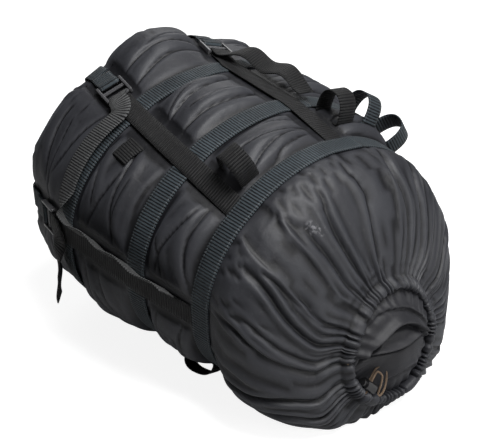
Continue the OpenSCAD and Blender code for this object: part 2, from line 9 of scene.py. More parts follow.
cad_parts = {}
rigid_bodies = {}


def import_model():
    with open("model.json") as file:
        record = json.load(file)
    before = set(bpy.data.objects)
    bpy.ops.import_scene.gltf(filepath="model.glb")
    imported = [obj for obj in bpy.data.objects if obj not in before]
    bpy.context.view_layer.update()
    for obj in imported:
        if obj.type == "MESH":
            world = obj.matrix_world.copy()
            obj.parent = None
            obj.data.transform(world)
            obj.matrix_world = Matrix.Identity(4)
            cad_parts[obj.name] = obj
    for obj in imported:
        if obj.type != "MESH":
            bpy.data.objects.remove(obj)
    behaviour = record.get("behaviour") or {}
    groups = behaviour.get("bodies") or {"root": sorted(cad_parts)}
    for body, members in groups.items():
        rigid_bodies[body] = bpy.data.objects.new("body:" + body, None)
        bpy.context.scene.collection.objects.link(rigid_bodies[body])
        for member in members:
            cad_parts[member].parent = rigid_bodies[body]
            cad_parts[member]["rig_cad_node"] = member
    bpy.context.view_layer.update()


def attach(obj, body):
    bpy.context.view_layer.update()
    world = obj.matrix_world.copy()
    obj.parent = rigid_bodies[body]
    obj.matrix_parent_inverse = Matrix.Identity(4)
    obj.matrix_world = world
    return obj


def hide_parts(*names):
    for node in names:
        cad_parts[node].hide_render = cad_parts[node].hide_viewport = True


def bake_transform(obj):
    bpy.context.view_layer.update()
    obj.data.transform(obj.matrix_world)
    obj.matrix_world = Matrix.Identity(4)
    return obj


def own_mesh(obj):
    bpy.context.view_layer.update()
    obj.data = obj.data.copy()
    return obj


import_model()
mm = 0.001

# the sack's own measures in millimetres, the same as the solids it is dressed over
sack = {
    "axisY": 9.9,
    "shoulderX": -189.4, "rearX": -100.4, "middleX": 10.6, "frontX": 96.6,
    "halfWidth": [188, 206, 189, 167],
    "top": [318, 307, 295, 275],
    "low": [16, 8, 8, 8],
    "frontAngles": [-12.6, 41, 92, 143, 194, 246, 297],
    "rearAngles": [-12, 30, 85, 136, 188, 240, 293],
    "shoulderAngles": [-22, 28, 90, 140, 190, 241, 292],
    "domeLen": 46, "domeRound": 0.8, "sag": 0.8, "bulge": 11,
    "webWidth": 25, "webThick": 1.6, "gap": 0.3, "bandSeam": 2.5, "travel": 45,
    "mouthX": 221.6, "mouthZ": 90, "mouthR": 67, "mouthTilt": 11,
}
# a ladder lock: bars, rails, and how it stands off the strap's bed
lockLook = {"barGap": 27, "barR": 2, "railGap": 1, "railWidth": 3.6, "railHeight": 6, "bevel": 1.1,
            "bedEdge": 1.2, "behindBand": 17, "clear": 0.4, "wrapGap": 0.2}

stationX = [sack["shoulderX"], sack["rearX"], sack["middleX"], sack["frontX"]]
shoulderX, rearX, middleX, frontX = stationX
axisY, webWidth, webThick, softGap = sack["axisY"], sack["webWidth"], sack["webThick"], sack["gap"]
endWide, endLow, endTop = sack["halfWidth"][0], sack["low"][0], sack["top"][0]
endMiddle, endHalf = (endTop + endLow) / 2, (endTop - endLow) / 2
railIn = webWidth / 2 + lockLook["railGap"]
bedAngle = (railIn + lockLook["railWidth"] + lockLook["bedEdge"]) / (endTop - endLow) * 2
strapCount = 7
barGap, barR = lockLook["barGap"], lockLook["barR"]
bandEdge = webWidth / 2 + sack["bandSeam"]
anchorX = rearX - bandEdge - barGap - lockLook["behindBand"]
lockHeight = barR + webThick + 2 * softGap + lockLook["clear"]
wrapIn = barR + lockLook["wrapGap"]
bandGap = 2 * softGap
overBand = bandGap + webThick + softGap


def unit(v):
    v = np.asarray(v, float)
    return v / np.maximum(np.linalg.norm(v, axis=-1, keepdims=True), 1e-12)


def lerp(a, b, s):
    return a + (b - a) * s


def ease(v):
    return v * v * (3 - 2 * v)


def along(x, values):
    return np.interp(x, stationX, values)


def flatCos(t, p=sack["sag"]):
    # a cosine that flattens on the underside, where the sack lies
    c = np.cos(t)
    return np.where(c >= 0, c, -np.abs(c) ** p)


def strapAngle(k, x):
    turn, k = divmod(k, strapCount)
    row = [sack[name][k] for name in ("shoulderAngles", "rearAngles", "frontAngles")]
    return np.radians(np.interp(x, [shoulderX, rearX, frontX], row)) + 2 * math.pi * turn


def bed(x, t):
    # the flat bed under the puffs, at x along the sack and angle t from the top
    x, t = np.broadcast_arrays(np.asarray(x, float), np.asarray(t, float))
    low, top = along(x, sack["low"]), along(x, sack["top"])
    y = axisY - along(x, sack["halfWidth"]) * np.sin(t)
    return np.stack([x, y, low + (top - low) / 2 * (1 + flatCos(t))], -1)


def outDir(x, t):
    x, t = np.broadcast_arrays(np.asarray(x, float), np.asarray(t, float))
    high = (along(x, sack["top"]) - along(x, sack["low"])) / 2
    wide = along(x, sack["halfWidth"])
    return unit(np.stack([np.zeros_like(x), -high * np.sin(t), wide * np.cos(t)], -1))


def domePoint(s, f, t, o):
    # on the closed end, where s runs in to its middle and f is the girth left there
    return np.stack([shoulderX - (sack["domeLen"] + o) * s, axisY - (endWide + o) * f * np.sin(t),
                     endMiddle + (endHalf + o) * f * flatCos(t)], -1)


def bedAcross(k, x):
    a = strapAngle(k, x)
    return unit(bed(x, a + bedAngle) - bed(x, a - bedAngle))


def bedOut(k, x):
    e = bedAcross(k, x)
    return np.stack([np.zeros_like(e[..., 0]), e[..., 2], -e[..., 1]], -1)


def strapPoint(k, x, v, o):
    # on strap k's bed, v across it and o out of it
    a = strapAngle(k, x)
    middle = (bed(x, a - bedAngle) + bed(x, a + bedAngle)) / 2
    return middle + v * bedAcross(k, x) + o * bedOut(k, x)


def mouthPoint(x, y, z):
    # mouth frame: x down, y across, z out of the mouth
    a = math.radians(90 - sack["mouthTilt"])
    x, y, z = np.broadcast_arrays(*(np.asarray(v, float) for v in (x, y, z)))
    return np.stack([sack["mouthX"] + math.cos(a) * x + math.sin(a) * z, axisY + y,
                     sack["mouthZ"] - math.sin(a) * x + math.cos(a) * z], -1)


def smoothLookup(s, knots):
    # monotone cubic through the knots
    kx, ky = np.array(knots, float).T
    h, d = np.diff(kx), np.diff(ky) / np.diff(kx)
    m = np.zeros_like(ky)
    m[0], m[-1] = d[0], d[-1]
    same = d[:-1] * d[1:] > 0
    m[1:-1][same] = 2 * d[:-1][same] * d[1:][same] / (d[:-1] + d[1:])[same]
    s = np.asarray(s, float)
    i = np.clip(np.searchsorted(kx, s) - 1, 0, len(h) - 1)
    u = np.clip((s - kx[i]) / h[i], 0, 1)
    return ((2 * u**3 - 3 * u**2 + 1) * ky[i] + (u**3 - 2 * u**2 + u) * h[i] * m[i]
            + (3 * u**2 - 2 * u**3) * ky[i + 1] + (u**3 - u**2) * h[i] * m[i + 1])


noiseCells = 64


class SoftNoise:
    # value noise on a wrapped lattice, the same on every run
    def __init__(self, seed):
        self.grid = np.random.default_rng(seed).uniform(-1, 1, (noiseCells, noiseCells))

    def at(self, u, v):
        u, v = np.broadcast_arrays(np.asarray(u, float), np.asarray(v, float))
        i, j = np.floor(u).astype(int), np.floor(v).astype(int)
        fu, fv = ease(u - i), ease(v - j)
        g, n = self.grid, noiseCells
        a = lerp(g[i % n, j % n], g[(i + 1) % n, j % n], fu)
        b = lerp(g[i % n, (j + 1) % n], g[(i + 1) % n, (j + 1) % n], fu)
        return lerp(a, b, fv)


def addToScene(name, data, material=None, body=None):
    obj = bpy.data.objects.new(name, data)
    bpy.context.scene.collection.objects.link(obj)
    if material:
        data.materials.append(material)
    if body:
        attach(obj, body)
    return obj


def makeObject(name, verts, faces, uv=None, material=None, body=None):
    mesh = bpy.data.meshes.new(name)
    verts = (np.asarray(verts, float).reshape(-1, 3) * mm).tolist()
    mesh.from_pydata(verts, [], [list(map(int, f)) for f in faces])
    if uv is not None:
        layer = mesh.uv_layers.new(name="clothMap")
        index = np.empty(len(mesh.loops), np.int32)
        mesh.loops.foreach_get("vertex_index", index)
        layer.data.foreach_set("uv", (np.asarray(uv, float) * mm)[index].astype(np.float32).ravel())
    mesh.polygons.foreach_set("use_smooth", np.ones(len(mesh.polygons), bool))
    mesh.update()
    return addToScene(name, mesh, material, body)


def gridFaces(rows, cols):
    # quads between rings of columns, closed round each ring
    i, j = np.meshgrid(np.arange(rows - 1), np.arange(cols), indexing="ij")
    k = (j + 1) % cols
    corners = i * cols + j, i * cols + k, (i + 1) * cols + k, (i + 1) * cols + j
    return np.stack(corners, -1).reshape(-1, 4)


def fixNormals(obj):
    work = bmesh.new()
    work.from_mesh(obj.data)
    bmesh.ops.recalc_face_normals(work, faces=work.faces)
    work.to_mesh(obj.data)
    work.free()


def applyModifiers(obj):
    deps = bpy.context.evaluated_depsgraph_get()
    deps.update()
    made = bpy.data.meshes.new_from_object(obj.evaluated_get(deps))
    obj.modifiers.clear()
    old, obj.data = obj.data, made
    bpy.data.meshes.remove(old)
    return obj


def feed(tree, socket, value):
    # a link from another socket, or a plain value
    if isinstance(value, bpy.types.NodeSocket):
        tree.links.new(value, socket)
    else:
        socket.default_value = value


def newGroup(name, inputs, outputs):
    # each input with its starting value, or None for a vector
    group = bpy.data.node_groups.new(name, "ShaderNodeTree")
    for label, value in inputs.items():
        kind = "NodeSocketVector" if value is None else "NodeSocketFloat"
        socket = group.interface.new_socket(label, in_out="INPUT", socket_type=kind)
        if value is not None:
            socket.default_value = value
    for label in outputs:
        group.interface.new_socket(label, in_out="OUTPUT", socket_type="NodeSocketFloat")
    return group, group.nodes.new("NodeGroupInput").outputs, group.nodes.new("NodeGroupOutput").inputs


def addNode(tree, kind, *inOrder, **named):
    node = tree.nodes.new("ShaderNode" + kind)
    for at, value in [*enumerate(inOrder), *named.items()]:
        feed(tree, node.inputs[at], value)
    return node


def noise(tree, at, scale, detail, **more):
    return addNode(tree, "TexNoise", Vector=at, Scale=scale, Detail=detail, **more).outputs["Fac"]


def vectorMath(tree, kind, *values):
    node = addNode(tree, "VectorMath", *values)
    node.operation = kind
    return node.outputs


def mathNode(tree, kind, *values, clamp=False):
    node = addNode(tree, "Math", *values)
    node.operation, node.use_clamp = kind, clamp
    return node.outputs[0]


def waveNode(tree, value, gain):
    # a row of rounded humps
    return mathNode(tree, "ABSOLUTE", mathNode(tree, "SINE", mathNode(tree, "MULTIPLY", value, gain)))


def ribGroup():
    # ribs across the webbing, softened by uneven yarn, with a mask for painted shade in the grooves
    look = {"yarn": (700, 160, 1), "round": 0.6, "crossPitch": 0.0016, "cross": 0.18, "rim": 0.88, "steep": 2.2}
    g, a, b = newGroup("webbingRibs", {"Map": None, "Pitch": 0.0023, "Uneven": 0.25}, ["Height", "GrooveShade"])
    split = addNode(g, "SeparateXYZ", Vector=a["Map"]).outputs
    yarn = noise(g, vectorMath(g, "MULTIPLY", a["Map"], look["yarn"])[0], scale=1, detail=1)
    turns = mathNode(g, "DIVIDE", split[0], a["Pitch"])
    turns = mathNode(g, "ADD", turns, mathNode(g, "MULTIPLY", yarn, a["Uneven"]))
    wave = waveNode(g, turns, math.pi)
    cross = mathNode(g, "MULTIPLY", waveNode(g, split[1], math.pi / look["crossPitch"]), look["cross"])
    feed(g, b["Height"], mathNode(g, "ADD", mathNode(g, "POWER", wave, look["round"]), cross))
    low = mathNode(g, "SUBTRACT", look["rim"], wave)
    feed(g, b["GrooveShade"], mathNode(g, "MULTIPLY", low, look["steep"], clamp=True))
    return g


def weaveGroup():
    # plain weave of fine flat yarn
    g, a, b = newGroup("plainWeave", {"Map": None, "Pitch": 0.0007}, ["Height"])
    split = addNode(g, "SeparateXYZ", Vector=a["Map"]).outputs
    yarns = [mathNode(g, "MULTIPLY", mathNode(g, "DIVIDE", way, a["Pitch"]), math.pi) for way in split[:2]]
    feed(g, b["Height"], mathNode(g, "MULTIPLY", *(mathNode(g, "SINE", way) for way in yarns)))
    return g


def wearGroup():
    # patchy handling marks, settled dust and crumpled cloth
    look = {"speckScale": 260, "dustFrom": 0.62, "dustGain": 5, "crumpleScale": 46}
    g, a, b = newGroup("handling", {"Place": None, "Scale": 9.0, "Dust": 0.3}, ["Patch", "Dust", "Crumple"])
    feed(g, b["Patch"], noise(g, a["Place"], a["Scale"], detail=4))
    specks = noise(g, a["Place"], look["speckScale"], detail=2)
    near = mathNode(g, "SUBTRACT", specks, look["dustFrom"], clamp=True)
    near = mathNode(g, "MULTIPLY", near, look["dustGain"], clamp=True)
    feed(g, b["Dust"], mathNode(g, "MULTIPLY", near, a["Dust"]))
    crumple = noise(g, a["Place"], look["crumpleScale"], detail=3, Roughness=0.45, Distortion=0.3)
    feed(g, b["Crumple"], crumple)
    return g


def stitchGroup():
    # two rows of stitches, one inside each edge
    look = {"thread": 0.00045, "dash": 0.66}
    g, a, b = newGroup("stitches", {"Map": None, "Inset": 0.0102, "Pitch": 0.0042}, ["Thread"])
    split = addNode(g, "SeparateXYZ", Vector=a["Map"]).outputs
    off = mathNode(g, "SUBTRACT", mathNode(g, "ABSOLUTE", split[1]), a["Inset"])
    line = mathNode(g, "LESS_THAN", mathNode(g, "ABSOLUTE", off), look["thread"])
    along = mathNode(g, "FRACT", mathNode(g, "DIVIDE", split[0], a["Pitch"]))
    feed(g, b["Thread"], mathNode(g, "MULTIPLY", line, mathNode(g, "LESS_THAN", along, look["dash"])))
    return g


def scuffGroup():
    # a small rubbed patch, broken up by the weave
    look = {"grain": 240, "from": 0.5, "gain": 9, "fade": 2}
    g, a, b = newGroup("scuffMark", {"Place": None, "Centre": None, "Size": 0.011}, ["Mask"])
    far = vectorMath(g, "DISTANCE", a["Place"], a["Centre"])["Value"]
    near = mathNode(g, "SUBTRACT", 1, mathNode(g, "DIVIDE", far, a["Size"]))
    near = mathNode(g, "MULTIPLY", near, look["fade"], clamp=True)
    grain = mathNode(g, "SUBTRACT", noise(g, a["Place"], look["grain"], detail=3), look["from"])
    feed(g, b["Mask"], mathNode(g, "MULTIPLY", near, mathNode(g, "MULTIPLY", grain, look["gain"], clamp=True)))
    return g


ribs, weave, handling, stitches, scuff = ribGroup(), weaveGroup(), wearGroup(), stitchGroup(), scuffGroup()


def placeGroup(tree, group, **values):
    node = tree.nodes.new("ShaderNodeGroup")
    node.node_tree = group
    for name, value in values.items():
        feed(tree, node.inputs[name], value)
    return node.outputs


def mixColour(tree, fac, a, b):
    node = addNode(tree, "Mix")
    node.data_type = "RGBA"
    for at, value in ((0, fac), (6, a), (7, b)):
        feed(tree, node.inputs[at], (*value, 1) if isinstance(value, tuple) else value)
    return node.outputs[2]


def startMaterial(name, scale, dust):
    # every finish carries the same handling marks, at its own scale
    material = bpy.data.materials.new(name)
    material.use_nodes = True
    tree = material.node_tree
    coords = addNode(tree, "TexCoord").outputs
    wear = placeGroup(tree, handling, Place=coords["Object"], Scale=scale, Dust=dust)
    return material, tree, tree.nodes["Principled BSDF"], coords, wear


def layerColours(tree, shader, patch, look, layers=()):
    # a patchy ground with masked tones laid over it in turn
    colour = mixColour(tree, patch, look["dark"], look["pale"])
    for mask, tone in layers:
        colour = mixColour(tree, mask, colour, tone)
    feed(tree, shader.inputs["Base Color"], colour)


def patchyRough(tree, shader, patch, ends):
    spread = addNode(tree, "MapRange", Value=patch)
    spread.inputs["To Min"].default_value, spread.inputs["To Max"].default_value = ends
    feed(tree, shader.inputs["Roughness"], spread.outputs["Result"])


def setShader(shader, **values):
    labels = {"rough": "Roughness", "metal": "Metallic", "gloss": "Specular IOR Level",
              "sheen": "Sheen Weight", "sheenRough": "Sheen Roughness", "sheenTint": "Sheen Tint"}
    for name, value in values.items():
        shader.inputs[labels[name]].default_value = value


def bumpInto(tree, shader, height, strength, distance):
    bump = addNode(tree, "Bump", Strength=strength, Distance=distance, Height=height)
    feed(tree, shader.inputs["Normal"], bump.outputs["Normal"])


# the darkest colour here is painted shade, laid into the cloth's creases
nylonLook = {
    "dark": (0.015, 0.015, 0.018), "pale": (0.028, 0.029, 0.034), "rough": (0.45, 0.57), "sheen": 0.04,
    "hollowShade": (0.002, 0.002, 0.003), "ridgeTone": (0.11, 0.115, 0.13), "dust": (0.3, 0.29, 0.28),
    "scuffs": [((0.1576, -0.0587, 0.2372), 0.009), ((0.163, -0.0505, 0.2328), 0.007)],  # centre and size
    "scuff": (0.13, 0.13, 0.14), "hollowShadeGain": 0.9, "ridgeGain": -0.2,
    "weave": 0.03, "bump": {"strength": 0.6, "distance": 0.0022},
}


def nylonCloth(name, **changes):
    look = {**nylonLook, **changes}
    material, tree, shader, coords, wear = startMaterial(name, scale=11.0, dust=0.05)
    crease = tree.nodes.new("ShaderNodeAttribute")
    crease.attribute_name = "crease"
    # painted shade in the creases, from the crease measure
    hollowShade = mathNode(tree, "MULTIPLY", crease.outputs["Fac"], look["hollowShadeGain"], clamp=True)
    ridge = mathNode(tree, "MULTIPLY", crease.outputs["Fac"], look["ridgeGain"])
    # a patchy lighter tone on the ridges, from the crease measure
    ridgeTone = mathNode(tree, "MULTIPLY", ridge, wear["Patch"], clamp=True)
    layers = [(hollowShade, look["hollowShade"]), (ridgeTone, look["ridgeTone"]), (wear["Dust"], look["dust"])]
    for centre, size in look["scuffs"]:
        mark = placeGroup(tree, scuff, Place=coords["Object"], Centre=centre, Size=size)
        layers.append((mark["Mask"], look["scuff"]))
    layerColours(tree, shader, wear["Patch"], look, layers)
    patchyRough(tree, shader, wear["Patch"], look["rough"])
    setShader(shader, sheen=look["sheen"], sheenRough=0.45, sheenTint=(0.75, 0.8, 0.95, 1), gloss=0.36)
    fine = mathNode(tree, "MULTIPLY", placeGroup(tree, weave, Map=coords["UV"])["Height"], look["weave"])
    bumpInto(tree, shader, mathNode(tree, "ADD", fine, wear["Crumple"]), **look["bump"])
    return material


# the darkest colour here is painted shade in the grooves between the ribs
webLook = {"groove": 1.0, "rough": 0.6, "sheen": 0.04, "stitch": 0, "dust": (0.3, 0.29, 0.28),
           "hollowShade": (0.004, 0.004, 0.005), "thread": (0.075, 0.082, 0.088)}


def webbingCloth(name, **changes):
    look = {**webLook, **changes}
    material, tree, shader, coords, wear = startMaterial(name, scale=24.0, dust=0.06)
    rib = placeGroup(tree, ribs, Map=coords["UV"], Pitch=look["pitch"])
    # painted shade in the grooves between the ribs
    layers = [(mathNode(tree, "MULTIPLY", rib["GrooveShade"], look["groove"]), look["hollowShade"])]
    if look["stitch"]:
        sewn = placeGroup(tree, stitches, Map=coords["UV"], Inset=look["stitch"])
        layers.append((sewn["Thread"], look["thread"]))
    layerColours(tree, shader, wear["Patch"], look, layers + [(wear["Dust"], look["dust"])])
    setShader(shader, rough=look["rough"], sheen=look["sheen"], sheenRough=0.4, gloss=0.2)
    bumpInto(tree, shader, rib["Height"], strength=1.0, distance=0.0009)
    return material


def mouldedPlastic(name, **look):
    material, tree, shader, _, wear = startMaterial(name, scale=60.0, dust=0.08)
    layerColours(tree, shader, wear["Patch"], look, [(wear["Dust"], (0.35, 0.34, 0.33))])
    patchyRough(tree, shader, wear["Patch"], look["rough"])
    bumpInto(tree, shader, wear["Crumple"], strength=0.12, distance=0.0003)
    return material


def braidedCord(name, **look):
    material, tree, shader, coords, wear = startMaterial(name, scale=120.0, dust=0.1)
    fine = placeGroup(tree, weave, Map=coords["UV"], Pitch=look["pitch"])
    layerColours(tree, shader, wear["Patch"], look)
    setShader(shader, rough=look["rough"])
    height = mathNode(tree, "ADD", fine["Height"], wear["Crumple"])
    bumpInto(tree, shader, height, strength=0.6, distance=0.0005)
    return material


def springWire(name, **look):
    material, tree, shader, _, wear = startMaterial(name, scale=200.0, dust=0.0)
    layerColours(tree, shader, wear["Patch"], look)
    setShader(shader, metal=1, rough=look["rough"])
    bumpInto(tree, shader, wear["Crumple"], strength=0.1, distance=0.0002)
    return material


nylon = nylonCloth("packNylon")
flapNylon = nylonCloth("flapNylon", dark=(0.013, 0.013, 0.015), pale=(0.025, 0.025, 0.029),
                       rough=(0.5, 0.64), scuffs=())
strapWeb = webbingCloth("strapWebbing", dark=(0.007, 0.007, 0.007), pale=(0.020, 0.020, 0.020), pitch=0.0033)
bandWeb = webbingCloth("bandWebbing", dark=(0.018, 0.023, 0.027), pale=(0.062, 0.080, 0.092), pitch=0.0034,
                       groove=0.95, rough=0.55, sheen=0.06, stitch=0.0102)
greyWeb = webbingCloth("tailWebbing", dark=(0.04, 0.041, 0.042), pale=(0.105, 0.107, 0.107), pitch=0.0031,
                       sheen=0.06)
lockPlastic = mouldedPlastic("ladderLockPlastic", dark=(0.04, 0.04, 0.043), pale=(0.09, 0.09, 0.095),
                             rough=(0.16, 0.26))
cordPlastic = mouldedPlastic("cordLockPlastic", dark=(0.008, 0.008, 0.009), pale=(0.016, 0.016, 0.017),
                             rough=(0.14, 0.26))
tanCord = braidedCord("tanCord", dark=(0.10, 0.065, 0.04), pale=(0.30, 0.21, 0.14), rough=0.75, pitch=0.0009)
stuffing = nylonCloth("stuffing", dark=(0.06, 0.06, 0.065), pale=(0.1, 0.1, 0.11), rough=(0.7, 0.8),
                      sheen=0.1, scuffs=())
steel = springWire("springSteel", dark=(0.5, 0.5, 0.52), pale=(0.75, 0.75, 0.77), rough=0.28)
print("finishes made")


clothLook = {
    "panelCols": 44, "domeRings": 22, "tubeStep": 1.7, "skirtRings": 54, "seed": 23, "floor": 0.15,
    "topPuff": 12, "topEase": 50, "endPuff": 0.9, "skirtPuff": 4,
    "sections": [(shoulderX + 8, rearX - 20, 3), (rearX + 20, middleX - 20, 4), (middleX + 18, frontX - 18, 3)],
    "gatherCount": 70, "gather": 5.6, "gatherReach": 26, "gatherSharp": 0.6, "gatherDrop": 0.5,
    "channel": 27, "stitchApart": 3, "stitchDeep": 0.9, "stitchWide": 1.5,
    "thinFolds": 34, "baseFolds": 22, "tubeRipple": 1.2, "endRipple": 2.4,
    "girthR": 170, "endR": 175, "skirtR": (150, 74),  # radii that turn an angle into a length
    # angle in degrees at the mouth, how far up it reaches, drift in degrees, depth, width
    "mouthFolds": [
        (96, 0.03, 6, 4.6, 6), (106, 0.05, 10, 4.2, 5), (86, 0.2, -4, 3.6, 5), (118, 0.06, 8, 4.4, 6),
        (131, 0.1, 6, 3.6, 6), (146, 0.2, 4, 3.0, 6), (66, 0.34, -14, 4.2, 5), (54, 0.26, -10, 4.4, 5),
        (42, 0.3, -8, 3.8, 5), (30, 0.5, -4, 2.6, 4), (17, 0.42, 4, 2.6, 5), (-4, 0.3, 6, 2.8, 6),
        (-17, 0.06, 4, 3.6, 7), (-27, 0.1, 2, 3.4, 6), (-39, 0.2, -4, 3.0, 6), (-55, 0.3, -6, 3.0, 6),
        (-70, 0.25, -6, 3.4, 6), (-88, 0.3, -4, 3.2, 6), (-104, 0.2, 2, 3.4, 6), (-121, 0.3, 4, 3.0, 6),
        (-140, 0.4, 3, 2.6, 5), (165, 0.5, 2, 2.2, 5),
    ],
    "thinRange": [(-180, 180), (0.2, 0.7), (-8, 8), (0.7, 2.2), (1.8, 3)],
}
# ranges to draw from, for creases round the tube and for those that run in over the closed end
tubeCrease = {"at": (0.2, 0.8), "middle": (0.25, 0.75), "half": (0.25, 0.7), "slope": (-0.3, 0.3),
              "deep": (1.6, 5.0), "width": (1.2, 2.0)}
endCrease = {"turn": (0, 2 * math.pi), "reach": (0.55, 0.97), "drift": (-0.5, 0.5), "deep": (1.0, 2.8),
             "width": (2.2, 4.5)}
bedPlaces = [-1, -0.5, 0, 0.5]
sector = np.repeat(np.arange(strapCount), len(bedPlaces) + clothLook["panelCols"])
place = np.tile(np.r_[bedPlaces, np.arange(clothLook["panelCols"]) / clothLook["panelCols"]], strapCount)
onBed = np.tile(np.r_[np.ones(len(bedPlaces), bool), np.zeros(clothLook["panelCols"], bool)], strapCount)
cols = len(sector)
panelSwell = np.where(onBed, 0, np.sin(math.pi * np.where(onBed, 0, place)) ** 0.7)


def columnAngles(x):
    a = np.stack([strapAngle(k, x) for k in range(strapCount + 1)], -1)
    a0, a1 = a[..., sector], a[..., sector + 1]
    return np.where(onBed, a0 + place * bedAngle, a0 + bedAngle + (a1 - a0 - 2 * bedAngle) * place)


def edgeAngles(x):
    a = np.stack([strapAngle(k, x) for k in range(strapCount)], -1)[..., sector]
    return a - bedAngle, a + bedAngle


def flatten(points, left, right):
    # straight across the strap beds, where the webbing presses the cloth flat
    share = ((place + 1) / 2)[None, :, None]
    return np.where(onBed[None, :, None], lerp(left, right, share), points)


def tubeSwell(x):
    rows = [[shoulderX, 0.9], [shoulderX + 40, 0.66], [rearX - bandEdge - 6, 0.3], [rearX - bandEdge + 3, 0],
            [rearX + bandEdge - 3, 0], [rearX + bandEdge + 9, 0.78], [(rearX + middleX) / 2, 1],
            [middleX - bandEdge - 9, 0.78], [middleX - bandEdge + 3, 0], [middleX + bandEdge - 3, 0],
            [middleX + bandEdge + 8, 0.76], [(middleX + frontX) / 2, 1], [frontX - bandEdge - 7, 0.85],
            [frontX - bandEdge + 3, 0], [frontX, 0]]
    return smoothLookup(x, rows)


topPanel = np.where(sector == 0, panelSwell, 0)


def tubeRings():
    n = int((frontX - shoulderX) / clothLook["tubeStep"])
    x = np.linspace(shoulderX, frontX, n + 1)[:, None]
    t = columnAngles(x[:, 0])
    left, right = edgeAngles(x[:, 0])
    p = flatten(bed(x, t), bed(x, left), bed(x, right))
    more = clothLook["topPuff"] * np.clip((rearX - bandEdge - x) / clothLook["topEase"], 0, 1) * topPanel
    return x[:, 0], t, p + (sack["bulge"] * tubeSwell(x) * panelSwell + more)[..., None] * outDir(x, t)


def domeRings():
    a = np.linspace(0, 1, clothLook["domeRings"] + 1)[1:] ** 0.85 * math.pi / 2
    s, f = np.sin(a) ** sack["domeRound"], np.cos(a * 0.985) ** sack["domeRound"]
    t = columnAngles(np.full(len(a), shoulderX))
    left, right = edgeAngles(np.full(len(a), shoulderX))
    puff = sack["bulge"] * clothLook["endPuff"] * panelSwell + clothLook["topPuff"] * topPanel
    o = puff[None] * (1 - s)[:, None]
    ring = s[:, None], f[:, None]
    return s, t, flatten(domePoint(*ring, t, o), domePoint(*ring, left, 0 * o), domePoint(*ring, right, 0 * o))


skirtR = sack["mouthR"] + 5 + 6 * softGap
skirtEnd = sack["mouthX"] - 9
# from the front band at 0 to the mouth at 1, except the first, which spaces the rings
skirtShape = {
    "rings": [[0, 0], [0.4, 0.46], [0.7, 0.8], [1, 1]],
    "width": [[0, 1], [0.125, 1], [0.3, 1.02], [0.5, 0.95], [0.68, 0.79], [0.83, 0.55], [0.93, 0.31], [1, 0]],
    "height": [[0, 1], [0.125, 1], [0.3, 1.03], [0.5, 0.95], [0.68, 0.79], [0.83, 0.55], [0.93, 0.33], [1, 0]],
    "middle": [[0, 1], [0.125, 1], [0.3, 0.88], [0.5, 0.72], [0.68, 0.52], [0.83, 0.26], [0.93, 0.06], [1, 0]],
    "flat": [[0, 0.8], [0.125, 0.8], [0.3, 0.66], [0.6, 0.54], [0.93, 0.44], [1, 1]],
}


def skirtRings():
    u = np.linspace(0, 1, clothLook["skirtRings"] + 1)[1:]
    s = smoothLookup(u, skirtShape["rings"])
    frontWide, frontLow = sack["halfWidth"][-1], sack["low"][-1]
    frontHalf = (sack["top"][-1] - frontLow) / 2
    width = lerp(skirtR, frontWide, smoothLookup(s, skirtShape["width"]))[:, None]
    height = lerp(skirtR, frontHalf, smoothLookup(s, skirtShape["height"]))[:, None]
    middle = lerp(sack["mouthZ"], frontLow + frontHalf, smoothLookup(s, skirtShape["middle"]))[:, None]
    power = smoothLookup(s, skirtShape["flat"])[:, None]
    lean = (np.radians(sack["mouthTilt"]) * s * s)[:, None]

    def at(t, o):
        high = (height + o) * flatCos(t, power)
        x = lerp(frontX, skirtEnd, s)[:, None] - high * np.sin(lean)
        return np.stack([x, axisY - (width + o) * np.sin(t), middle + high * np.cos(lean)], -1)

    t = columnAngles(np.full(len(s), frontX))
    left, right = edgeAngles(np.full(len(s), frontX))
    # spread the columns evenly round each ring as the front band has them
    fine = t[0, 0] + np.linspace(0, 2 * math.pi, 1441)
    steps = np.linalg.norm(np.diff(at(np.broadcast_to(fine, (len(s), len(fine))), 0), axis=1), axis=-1)
    share = np.concatenate([np.zeros((len(s), 1)), np.cumsum(steps, 1)], 1)
    share /= share[:, -1:]
    mix = np.clip((s - 0.02) / 0.3, 0, 1)

    def spread(angle):
        start = np.interp((angle - fine[0]) % (2 * math.pi) + fine[0], fine, share[0])
        return np.stack([lerp(angle[i], np.interp(start[i], share[i], fine), mix[i]) for i in range(len(s))])

    t, left, right = spread(t), spread(left), spread(right)
    swell = (1 - s)[:, None] * np.clip((s - 0.06) / 0.12, 0, 1)[:, None]
    p = at(t, clothLook["skirtPuff"] * panelSwell[None] * swell)
    straight = flatten(p, at(left, 0), at(right, 0))
    return s, t, lerp(straight, p, np.clip(s / 0.3, 0, 1)[:, None, None])


# over the cord channel, round the edge and back inside the mouth
hemShape = {"r": [72.6, 71.2, 69.6, 67.8, 66.0, 64.4, 63.4, 63.0, 63.2, 63.4],
            "z": [-6, -3.2, -0.8, 1.0, 2.0, 2.2, 1.2, -1.6, -7, -13]}


def hemRings(mouthT):
    r, z = (np.array(hemShape[name])[:, None] for name in "rz")
    t = np.broadcast_to(mouthT, (len(r), cols))
    return t, mouthPoint(-r * np.cos(t), -r * np.sin(t), z)


def gridNormals(p, ring):
    # outward, as that ring has it
    du = np.roll(p, -1, 1) - np.roll(p, 1, 1)
    n = unit(np.cross(du, np.gradient(p, axis=0)))
    return n if np.sum(n[ring] * (p[ring] - p[ring].mean(0))) > 0 else -n


def valley(d, width, puff, beside, spread):
    # a crease with the cloth puffed up beside it
    return puff * np.exp(-(((d - beside) / spread) ** 2)) - np.exp(-((d / width) ** 2))


def turnFrom(t, at):
    return (t - at + math.pi) % (2 * math.pi) - math.pi


def roundCrease(x, t, at, turn, half, slope, deep, side, width):
    # runs round the sack, with the puff it throws up beside it
    d = x - at - slope * (t - turn) * clothLook["girthR"] - 2.5 * np.sin((t - turn) * 9 + at)
    fade = np.clip(1 - ((t - turn) / half) ** 2, 0, 1) ** 0.8
    return deep * fade * valley(d, width, 0.7, side * 9, 7.5)


